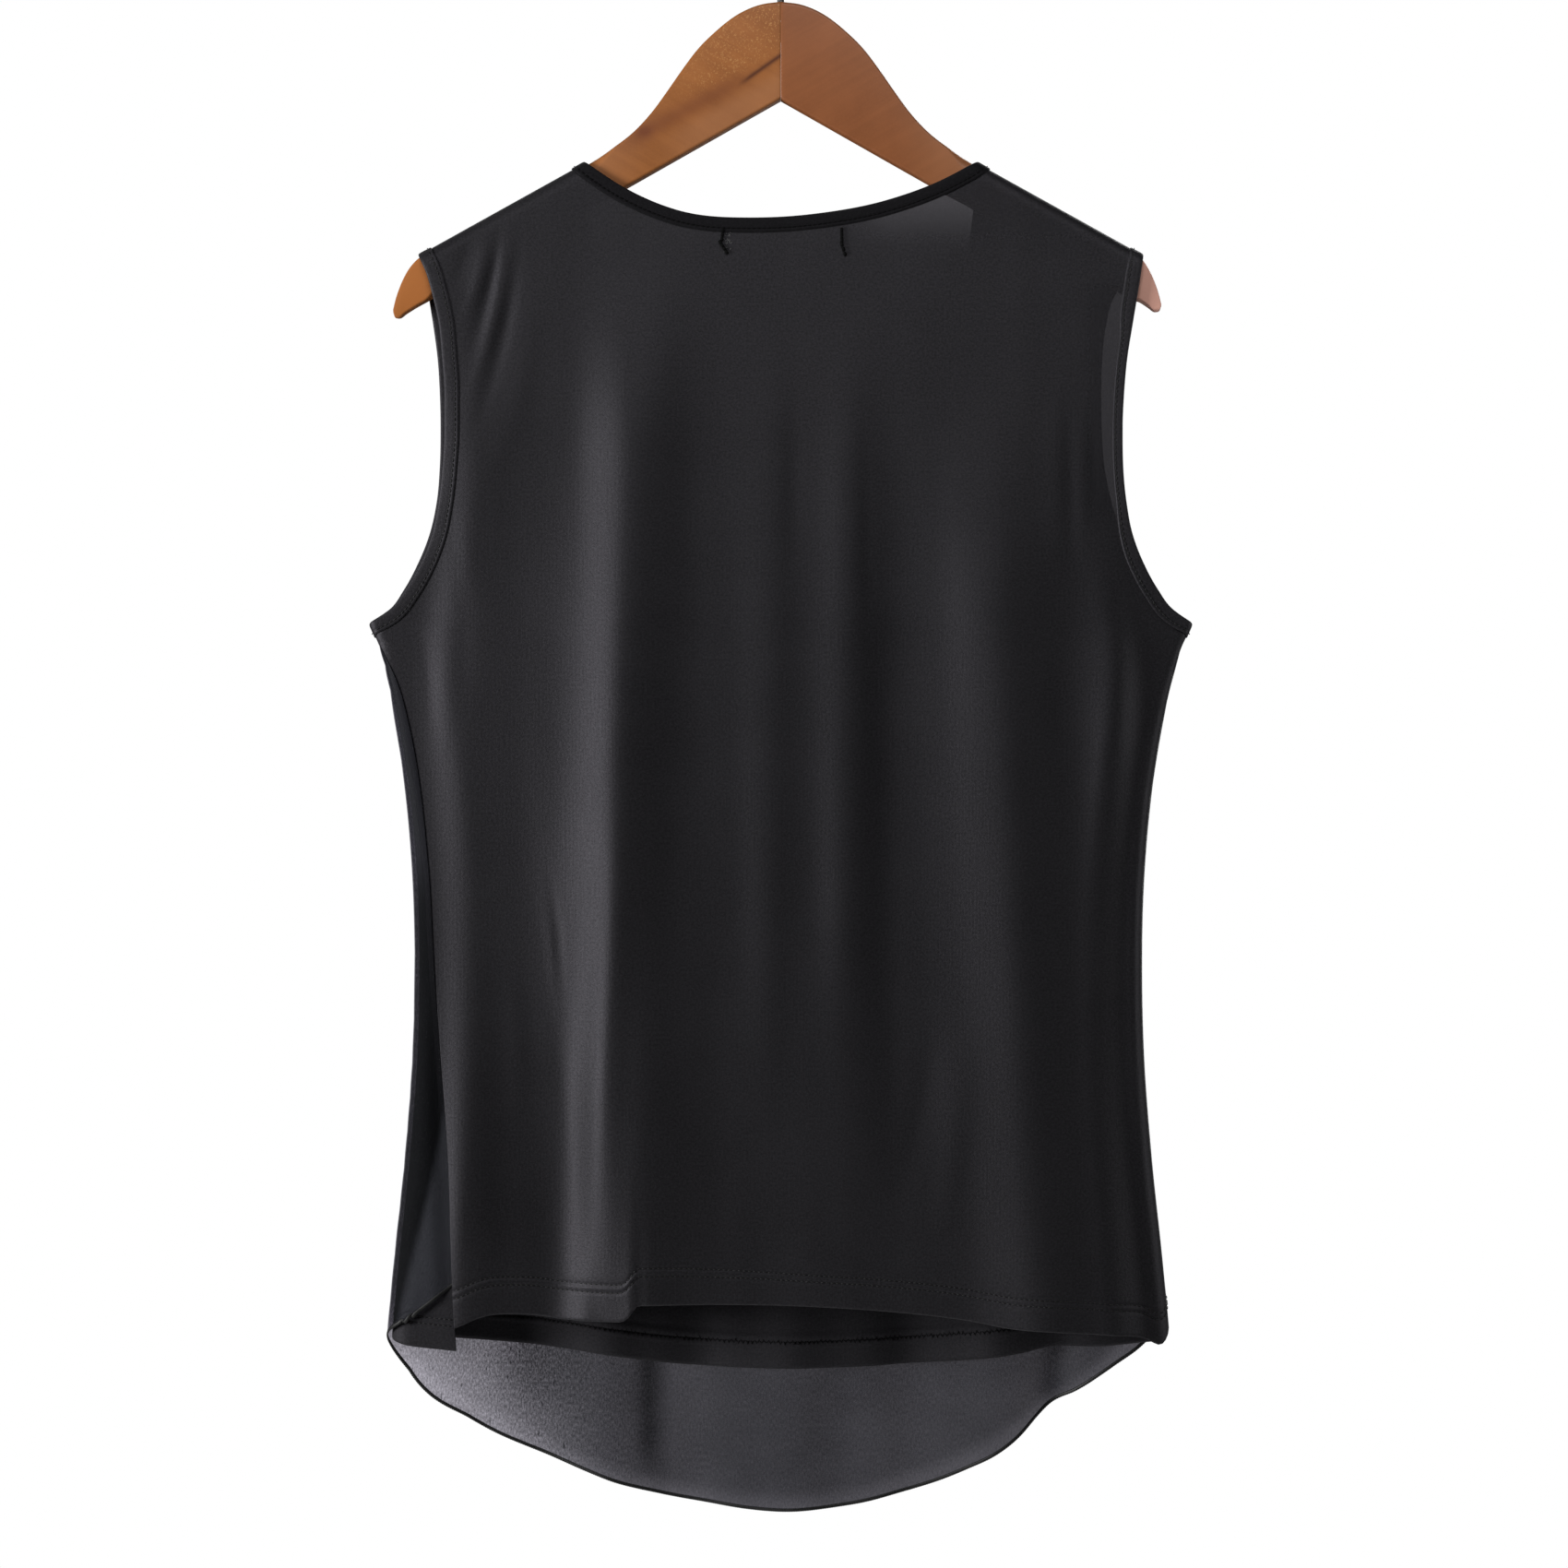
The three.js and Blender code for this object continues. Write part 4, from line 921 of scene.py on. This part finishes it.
class Wire:
    """A node's output in one finish. Arithmetic on it adds Math nodes."""

    def __init__(self, finish, socket):
        self.finish, self.socket = finish, socket

    def math(self, operation, *others):
        return self.finish.add("Math", {"operation": operation}, dict(enumerate((self, *others))))

    def __add__(self, other):
        return self.math("ADD", other)

    def __sub__(self, other):
        return self.math("SUBTRACT", other)

    def __mul__(self, other):
        return self.math("MULTIPLY", other)

    def __rsub__(self, other):
        return (self * -1).math("ADD", other)

    __radd__, __rmul__ = __add__, __mul__

    def sine(self):
        return self.math("SINE")

    def ease(self, start, end):
        """0 at start and 1 at end, smooth between them. The start may be the larger one."""
        sockets = {"Value": self, "From Min": min(start, end), "From Max": max(start, end)}
        eased = self.finish.add("MapRange", {"interpolation_type": "SMOOTHSTEP"}, sockets)
        return eased if end > start else 1 - eased

    def bell(self, width):
        """exp(-(x/width)^2)"""
        share = self * (1 / width)
        return (share * share * -1).math("EXPONENT")


class Finish:
    """A material's nodes. A method adds some of them and gives back the output of the last one."""

    def __init__(self, name):
        self.material = bpy.data.materials.new(name)
        self.material.use_nodes = True
        self.tree = self.material.node_tree
        self.tree.nodes.clear()

    def add(self, kind, settings=None, sockets=None, out=0):
        """A node with these settings, and with values or other nodes' outputs in these sockets."""
        node = self.tree.nodes.new("ShaderNode" + kind)
        for key, value in (settings or {}).items():
            setattr(node, key, value)
        for key, value in (sockets or {}).items():
            named = [socket for socket in node.inputs if key in (socket.identifier, socket.name)]
            socket = named[0] if named else node.inputs[key]
            if isinstance(value, Wire):
                self.tree.links.new(value.socket, socket)
            else:
                socket.default_value = value
        return Wire(self, node.outputs[out])

    def blend(self, share, a, b):
        """Colour a where the share is 0 and b where it is 1."""
        sockets = {"Factor_Float": share, "A_Color": a, "B_Color": b}
        return self.add("Mix", {"data_type": "RGBA"}, sockets, out=2)

    def split(self, vector):
        """A vector's three parts."""
        return [self.add("SeparateXYZ", None, {"Vector": vector}, out=k) for k in range(3)]

    def strands(self, vector, scale, detail, roughness):
        """Noise drawn out by its own scale on each axis."""
        drawn_out = self.add("Mapping", None, {"Vector": vector, "Scale": scale})
        return self.noise(drawn_out, 1.0, detail, roughness)

    def noise(self, vector, scale, detail, roughness):
        sockets = {"Vector": vector, "Scale": scale, "Detail": detail, "Roughness": roughness}
        return self.add("TexNoise", None, sockets)

    def bump(self, height, strength, distance):
        sockets = {"Height": height, "Strength": strength, "Distance": distance}
        return self.add("Bump", None, sockets)

    def place(self):
        """The point's own place in the part's frame, in metres."""
        return self.add("TexCoord", out=3)

    def layered(self, colour, *layers):
        """A colour with others laid over it in turn, each by its own share."""
        for share, over in layers:
            colour = self.blend(share, colour, over)
        return colour

    def principled(self, sockets):
        return self.add("BsdfPrincipled", None, sockets)

    def clear(self, share, shader, colour=(1, 1, 1, 1)):
        """A shader that lets this share of the light through."""
        gap = self.add("BsdfTransparent", None, {"Color": colour})
        return self.add("MixShader", None, {0: share, 1: shader, 2: gap})

    def surface(self, shader):
        """The material, with this shader as its surface."""
        node = self.tree.nodes.new("ShaderNodeOutputMaterial")
        self.tree.links.new(shader.socket, node.inputs["Surface"])
        return self.material


def grey(level):
    """A neutral colour."""
    return (level, level, level, 1)


def satin_black(level):
    """The jersey's black, a little purple."""
    return (level * 1.04, level, level * 1.12, 1)


def cloth_uv(finish):
    """The cloth's own coordinates in millimetres, across and down."""
    uv = finish.add("UVMap", {"uv_map": "cloth"})
    across, down, _ = finish.split(uv)
    return uv, across * 1000, down * 1000


GRAIN = 0.32  # how far apart the jersey's dull and glossy specks are


def jersey_finish(name, level, rough, gloss=0.27, see_through=None):
    """Fine black jersey with a satin face.

    Its colour wanders slowly by a tenth or so, and faint streaks run down it. Rows of knit loops 0.7 mm wide
    and 0.55 mm high make the bump, under a grain of fuzz, which also mixes a dull face with a glossy one.
    The share let through is what see_through makes of across and down.
    """
    finish = Finish(name)
    uv, across, down = cloth_uv(finish)
    wander = finish.noise(uv, 14.0, 4.0, 0.6)
    streaks = finish.strands(uv, (900.0, 60.0, 1.0), 2.0, 0.5)
    fuzz = finish.noise(uv, 720.0, 3.0, 0.9)
    wandering = wander.ease(0.3, 0.7), satin_black(level * 1.12)
    fuzzy = fuzz.ease(0.35, 0.65) * 0.5, satin_black(level * 1.8)
    loops = (across * (2 * math.pi / 0.7)).sine() * 0.5 + (down * (2 * math.pi / 0.55)).sine() * 0.5
    sockets = {
        "Base Color": finish.layered(satin_black(level * 0.88), wandering, fuzzy),
        "Roughness": wander * 0.08 + fuzz * 0.12 + streaks * 0.08 + (rough - 0.14),
        "Specular Tint": satin_black(0.89),
        "Sheen Weight": 0.06,
        "Sheen Roughness": 0.45,
        "Normal": finish.bump(loops * 0.15 + fuzz * 2.0 + streaks * 0.5, 0.5, 0.0002),
    }
    dull, bright = (
        finish.principled({**sockets, "Specular IOR Level": gloss * part}) for part in (1 - GRAIN, 1 + GRAIN)
    )
    shader = finish.add("MixShader", None, {0: fuzz.ease(0.3, 0.7), 1: dull, 2: bright})
    if see_through:
        shader = finish.clear(see_through(across, down), shader, (0.98, 0.96, 1.0, 1))
    return finish.surface(shader)


def through_back(across, down):
    """The share each face lets through: most under the neckline on the right, and by the right armhole."""
    neck = down.ease(70, 30)
    right = across.ease(24, 62) * down.ease(58, 14)
    armhole = across.ease(165, 178) * down.ease(62, 74) * down.ease(212, 190)
    return neck * 0.05 + right * 0.155 + armhole * 0.125


CHIFFON_DARK, CHIFFON_PALE = (0.0085, 0.0092, 0.012, 1), (0.012, 0.0128, 0.0165, 1)
# Painted shade for the chiffon where it turns round the left side, and painted light where it comes round to
# the back.
CHIFFON_PAINTED_SHADE, CHIFFON_PAINTED_LIGHT = (0.0055, 0.006, 0.0068, 1), (0.048, 0.05, 0.058, 1)


def chiffon_finish():
    """Thin crepe chiffon: dark yarns with see-through gaps.

    The share each face lets through grows towards the hem, most of all at the left. The hem's "down" is
    taken as 761 - 0.0018 across^2, or 0.0024 at the right. Slubs and fine upright yarns vary the share, and
    it is less along two dark folds. Round the left side the colour is painted darker, as painted shade, and
    where it comes round towards the back it is painted paler again, as painted light.
    """
    finish = Finish("chiffon")
    uv, across, down = cloth_uv(finish)
    yarns = finish.strands(uv, (1100.0, 480.0, 1.0), 3.0, 0.8)
    slubs = finish.strands(uv, (600.0, 130.0, 1.0), 1.0, 0.5)
    slow = finish.noise(uv, 16.0, 3.0, 0.5)
    left = across.ease(-60, -165)
    bend = across.ease(-20, 60) * 0.0006 + 0.0018
    up = (across * across * bend) * -1 + (down * -1) + 761
    glow = (up * (1 / 46)).ease(1, 0) * left * left * 0.17 + (up * (1 / 13)).ease(1, 0) * 0.075
    corner = across.ease(-138, -172) * down.ease(712, 676)
    fold = (across + 74.5).bell(6.5) * down.ease(748, 720)
    tuck = (across - 155).bell(6.0) * down.ease(712, 688)
    light = across.ease(-68, -58) * across.ease(-28, -50)
    share = glow + left * 0.05 + corner * 0.13 + light * 0.035 + (slow - 0.5) * 0.1 + 0.19
    share = share - fold * 0.07 - tuck * 0.05
    share = share + (yarns - 0.5) * (left * 0.65 + 0.25) - slubs.ease(0.66, 0.78) * left * 0.2
    # Painted shade where the cloth turns round the left side, and painted light, paler, where it comes round
    # towards the back.
    turn = across.ease(-200, -207) * across.ease(-237, -231) * down.ease(380, 430)
    inner = across.ease(-231, -237) * down.ease(500, 540)
    tones_and_painted_light = (slow.ease(0.3, 0.7), CHIFFON_PALE), (turn, CHIFFON_PAINTED_SHADE), (inner, CHIFFON_PAINTED_LIGHT)
    sockets = {
        "Base Color": finish.layered(CHIFFON_DARK, *tones_and_painted_light),
        "Roughness": slow * 0.1 + turn * 0.25 + 0.55,
        "Specular IOR Level": 0.1,
        "Sheen Weight": 0.12,
        "Sheen Roughness": 0.3,
        "Sheen Tint": (0.9, 0.95, 1.0, 1),
        "Normal": finish.bump(yarns + slubs * 2, 0.3, 0.0002),
    }
    return finish.surface(finish.clear(share, finish.principled(sockets), (0.96, 0.94, 1.0, 1)))


def thread_finish(name, level, rough, gloss):
    """Sewing thread: fine turns of the yarn as bump, and a soft gloss."""
    finish = Finish(name)
    twist = finish.noise(finish.place(), 1500.0, 2.0, 0.7)
    sockets = {
        "Base Color": finish.blend(twist.ease(0.4, 0.6), grey(level * 0.5), grey(level * 1.5)),
        "Roughness": twist * 0.1 + (rough - 0.05),
        "Specular IOR Level": gloss,
        "Normal": finish.bump(twist, 0.4, 0.0003),
    }
    return finish.surface(finish.principled(sockets))


ARM_ANGLE = math.atan(UNDER_SLOPE)
WOOD_STREAK, WOOD_SHADE = (0.06, 0.012, 0.004, 1), (0.16, 0.045, 0.014, 1)
# The second colour here is gold for painted glints: the sparkle of the varnish on the lit left arm.
WOOD_PALE, WOOD_GOLD_GLINT = (0.37, 0.16, 0.07, 1), (0.55, 0.29, 0.1, 1)
# Each half's light grain, its dark grain and its tip.
# The left half's colours are lighter than the right's: partly its own tone, partly painted light from the
# left.
WOODS = {
    LEFT: ((0.32, 0.112, 0.026, 1), (0.22, 0.071, 0.014, 1), (0.34, 0.115, 0.026, 1)),
    # The right tip's pale colour is painted light over its own pinkish tint.
    RIGHT: ((0.26, 0.087, 0.028, 1), (0.2, 0.064, 0.019, 1), (0.7, 0.38, 0.3, 1)),
}


def wood_finish(name, hand):
    """Varnished wood whose grain runs down the arm.

    The grain is noise drawn out along the arm, under finer fibres and specks, and each arm's tip has its own
    tint; the right tip's is pale, painted light over its own pinkish tone. The left arm's colours are
    lighter, partly its own tone and partly painted light from the left. On the left arm a dark streak starts
    at the joint, fades into a brown band and ends in a small knot. Gold specks above the band are painted
    glints of the varnish, and the wood below it is paler.
    """
    light, dark, tip = WOODS[hand]
    finish = Finish(name)
    place = finish.place()
    turned = finish.add("Mapping", None, {"Vector": place, "Rotation": (0, hand * ARM_ANGLE, 0)})
    grain = finish.strands(turned, (6.0, 110.0, 150.0), 4.0, 0.6)
    fibres = finish.strands(turned, (40.0, 700.0, 900.0), 3.0, 0.7)
    blotch = finish.noise(place, 30.0, 3.0, 0.6)
    speck = finish.noise(place, 900.0, 3.0, 0.8)
    x, _, z = finish.split(place)
    out = x * hand
    layers = [
        (grain.ease(0.3, 0.7) * 0.5 + blotch.ease(0.3, 0.7) * 0.5, light),
        (fibres.ease(0.45, 0.8) * 0.3, dark),
        (speck.ease(0.4, 0.7) * 0.3, light),
        (out.ease(0.06, 0.105) * 0.4, WOOD_PALE),
        # The tip's colour; on the right tip it is painted pale, as painted light.
        (out.ease(0.185, 0.205), tip),
    ]
    if hand == LEFT:
        way, down = x * -1000, z * -1000 + NECK_LEVEL
        from_line = down + 60.5 - way * 0.7
        from_shade = down + 58 - way * 0.53
        line = from_line.bell(1.6) * way.ease(26, 16)
        shade = from_shade.bell(6.0) * way.ease(8, 35) * way.ease(100, 75)
        knot = (way - 77).bell(5.0) * (down + 18).bell(4.0)
        # Painted glints: gold specks that stand in for the varnish's sparkle above the band.
        sparkle = speck.ease(0.56, 0.66) * from_shade.ease(-2, -10) * way.ease(70, 30)
        layers += [
            (from_shade.ease(0, 14) * way.ease(80, 40) * 0.5, WOOD_PALE),
            (shade * 0.6 + knot * 0.5, WOOD_SHADE),
            (line * 0.85, WOOD_STREAK),
            (sparkle * 0.55, WOOD_GOLD_GLINT),
        ]
    sockets = {
        "Base Color": finish.layered(dark, *layers),
        "Roughness": fibres * 0.12 + 0.4,
        "Specular IOR Level": 0.3,
        "Coat Weight": 0.06,
        "Coat Roughness": 0.25,
        "Normal": finish.bump(fibres * 0.5 + speck, 0.15, 0.0003),
    }
    return finish.surface(finish.principled(sockets))


def steel_finish():
    """Polished steel wire with faint drawing marks."""
    finish = Finish("steel_wire")
    marks = finish.strands(finish.place(), (60.0, 900.0, 60.0), 3.0, 0.6)
    sockets = {
        "Base Color": finish.blend(marks, grey(0.52), grey(0.68)),
        "Metallic": 1.0,
        "Roughness": marks * 0.12 + 0.14,
        "Normal": finish.bump(marks, 0.06, 0.0002),
    }
    return finish.surface(finish.principled(sockets))


# ---- the camera and the light ----

scene = bpy.context.scene
scene.view_settings.view_transform = "Standard"

camera = bpy.data.objects.new("camera", bpy.data.cameras.new("camera"))
scene.collection.objects.link(camera)
camera.data.lens = 100
camera.data.sensor_width = 36
camera.location = (0.0018, -2.456, -0.5154)
camera.rotation_euler = (math.pi / 2, 0, 0)
scene.camera = camera


def soft_light(name, place, aim, width, height, power):
    """A rectangular soft light, turned towards the point it is aimed at."""
    light = bpy.data.lights.new(name, "AREA")
    light.shape, light.size, light.size_y, light.energy = "RECTANGLE", width, height, power
    made = bpy.data.objects.new(name, light)
    scene.collection.objects.link(made)
    away = np.array(place) - np.array(aim)
    made.location = place
    made.rotation_euler = (math.acos(away[2] / np.linalg.norm(away)), 0, math.atan2(away[0], -away[1]))


soft_light("key_light", (-1.7, -0.8, -0.5), (0, 0, -0.5), 0.5, 0.9, 42)
soft_light("top_light", (0.1, -0.62, 0.35), (0, 0, -0.25), 0.6, 0.3, 4.2)
soft_light("side_light", (1.9, -0.15, -0.55), (0, 0, -0.55), 0.4, 0.9, 8)
soft_light("front_light", (0.9, 1.9, -0.4), (0, 0, -0.5), 0.5, 0.9, 6)
soft_light("back_light", (0.4, 2.4, 0.8), (0, 0, -0.45), 2.0, 1.6, 40)

# White all round for the camera, and a dim even light for everything else.
sky = bpy.data.worlds.new("studio")
sky.use_nodes = True
scene.world = sky
background = sky.node_tree.nodes["Background"]
seen = sky.node_tree.nodes.new("ShaderNodeLightPath")
level = sky.node_tree.nodes.new("ShaderNodeMapRange")
level.inputs["To Min"].default_value = 0.022
level.inputs["To Max"].default_value = 1.0
sky.node_tree.links.new(seen.outputs["Is Camera Ray"], level.inputs["Value"])
sky.node_tree.links.new(level.outputs[0], background.inputs["Strength"])
background.inputs["Color"].default_value = (1, 1, 1, 1)

FLOOR_LEVEL, FLOOR_RADIUS = -1.62, 2.0


def studio_floor():
    """A pale round floor under the rail, which fades into the white around it."""
    turn = circle(96)
    rim = point(FLOOR_RADIUS * np.cos(turn), FLOOR_RADIUS * np.sin(turn), FLOOR_LEVEL)
    mesh = bpy.data.meshes.new("studio_floor")
    mesh.from_pydata(rim.tolist(), [], [list(range(len(rim)))])
    floor = bpy.data.objects.new("studio_floor", mesh)
    scene.collection.objects.link(floor)
    finish = Finish("pale_floor")
    x, y, _ = finish.split(finish.place())
    share = (x * x + y * y).math("SQRT").ease(0.4, 1.7)
    paper = finish.add("BsdfDiffuse", None, {"Color": grey(0.9)})
    mesh.materials.append(finish.surface(finish.clear(share, paper)))


studio_floor()

# ---- the object ----

back_jersey = jersey_finish("back_jersey", 0.009, 0.54, see_through=through_back)
# The front's jersey is the back's cloth painted paler: painted light for its shaded inside under the back's
# hem.
front_jersey = jersey_finish("front_jersey", 0.012, 0.66, gloss=0.2)
chiffon = chiffon_finish()
neck_jersey = jersey_finish("neck_binding_jersey", 0.004, 0.68, gloss=0.09)
armhole_jersey = jersey_finish("armhole_binding_jersey", 0.011, 0.52)
black_thread = thread_finish("black_thread", 0.008, 0.5, 0.35)
edge_thread = thread_finish("edge_thread", 0.012, 0.5, 0.3)
dull_thread = thread_finish("dull_thread", 0.002, 0.9, 0.1)
pale_fibre = thread_finish("pale_fibre", 0.09, 0.8, 0.2)
wood_left = wood_finish("wood_left", LEFT)
wood_right = wood_finish("wood_right", RIGHT)

back_cloth = cloth("back_cloth", BACK, back_surface, back_hem, JERSEY, True, back_jersey)
front_cloth = cloth("front_cloth", FRONT, front_surface, front_hem, JERSEY, True, front_jersey)
overlay_cloth = cloth("overlay_cloth", FRONT, overlay_surface, overlay_hem, CHIFFON, False, chiffon)
neck_trim = binding("neck_trim", neck_rim, neck_jersey)
arm_trims = [binding(f"armhole_trim_{HANDS[hand]}", armhole_rim(hand), armhole_jersey) for hand in HANDS]
serged = serged_edge("overlay_rolled_hem", edge_thread)

OVER_JERSEY = JERSEY / 2 + 0.1
OVER_BINDING = BINDING_THICK / 2 + BINDING_PROUD - 0.05
BINDING_ROW = 6.3  # from the opening's edge


def hem_stitches(name, surface, side, hem, rows, start, end):
    """A hem's rows of needle stitches."""
    lines = [(surface, side, hem_line(hem, row, start, end), OVER_JERSEY) for row in rows]
    return sewn_rows(name, lines, black_thread)


def binding_stitches(name, rims, finish):
    """A row of stitches along each of these bindings, on the back and then on the front."""
    rows = []
    for side in FACES:
        for rim in rims:
            edge, away = rim(side)
            rows.append((SURFACES[side], side, (edge + away * BINDING_ROW)[2:-2], OVER_BINDING))
    return sewn_rows(name, rows, finish)


back_sewing = hem_stitches("back_hem_stitches", back_surface, BACK, back_hem, BACK_ROWS, -181, 230)
front_sewing = hem_stitches("front_hem_stitches", front_surface, FRONT, front_hem, FRONT_ROWS, -261, 212)
loopers = looper_row("front_hem_loopers", dull_thread)
neck_sewing = binding_stitches("neck_binding_stitches", [neck_rim], dull_thread)
arm_rims = [armhole_rim(hand) for hand in HANDS]
trim_sewing = binding_stitches("armhole_binding_stitches", arm_rims, black_thread)

# The two short rows of stitches that held a label at the back of the neck, each in two straight lines.
LABEL_ROWS = table(
    "across down to_across to_down",
    (-32.5, 38, -33, 43),
    (-34, 45, -30.5, 50.5),
    (34.2, 38, 34.4, 46),
    (34.4, 46, 36, 51.5),
)
label_lines = [np.linspace((x0, d0), (x1, d1), 40) for x0, d0, x1, d1 in rows_of(LABEL_ROWS)]
label_rows = [(back_surface, BACK, line, OVER_JERSEY) for line in label_lines]
# The stitches are made thick and near black: partly real thread, partly a dark mark for the shade of the seam
# pinched round them.
label_sewing = sewn_rows("label_stitches", label_rows, dull_thread, spacing=1.6, length=2.8, radius=0.9)


def loose_fibres(name, finish):
    """The pale ends of thread left in the left label row: short fibres lying every way."""
    draw = np.random.default_rng(17)
    count = 26
    places = point(draw.normal(-29.8, 1.1, count), draw.uniform(36.5, 50, count))
    points, _, normal = on_cloth(back_surface, BACK, places, OVER_JERSEY)
    turn = draw.uniform(0, 2 * math.pi, count)
    tangents = point(np.cos(turn), 0, np.sin(turn))
    return stitches(name, points, tangents, normal, length=1.5, radius=0.13, finish=finish)


fibres = loose_fibres("label_fibres", pale_fibre)

hanger_left = hanger_half("hanger_wood_left", LEFT, wood_left)
hanger_right = hanger_half("hanger_wood_right", RIGHT, wood_right)
hook = hook_wire("hook_wire", steel_finish())

# ---- hiding the CAD parts that the pieces above replace ----

STANDS_FOR = (
    (back_cloth, "jersey", "back_panel"),
    (front_cloth, "jersey", "front_panel"),
    (overlay_cloth, "chiffon", "front_overlay"),
    (neck_trim, "binding", "neck_binding"),
    (arm_trims[0], "binding", "armhole_binding_left"),
    (arm_trims[1], "binding", "armhole_binding_right"),
    (hanger_left, "wood", "hanger_half_left"),
    (hanger_right, "wood", "hanger_half_right"),
    (hook, "steel", "hanger_hook"),
)
for piece, slot, node in STANDS_FOR:
    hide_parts(node)
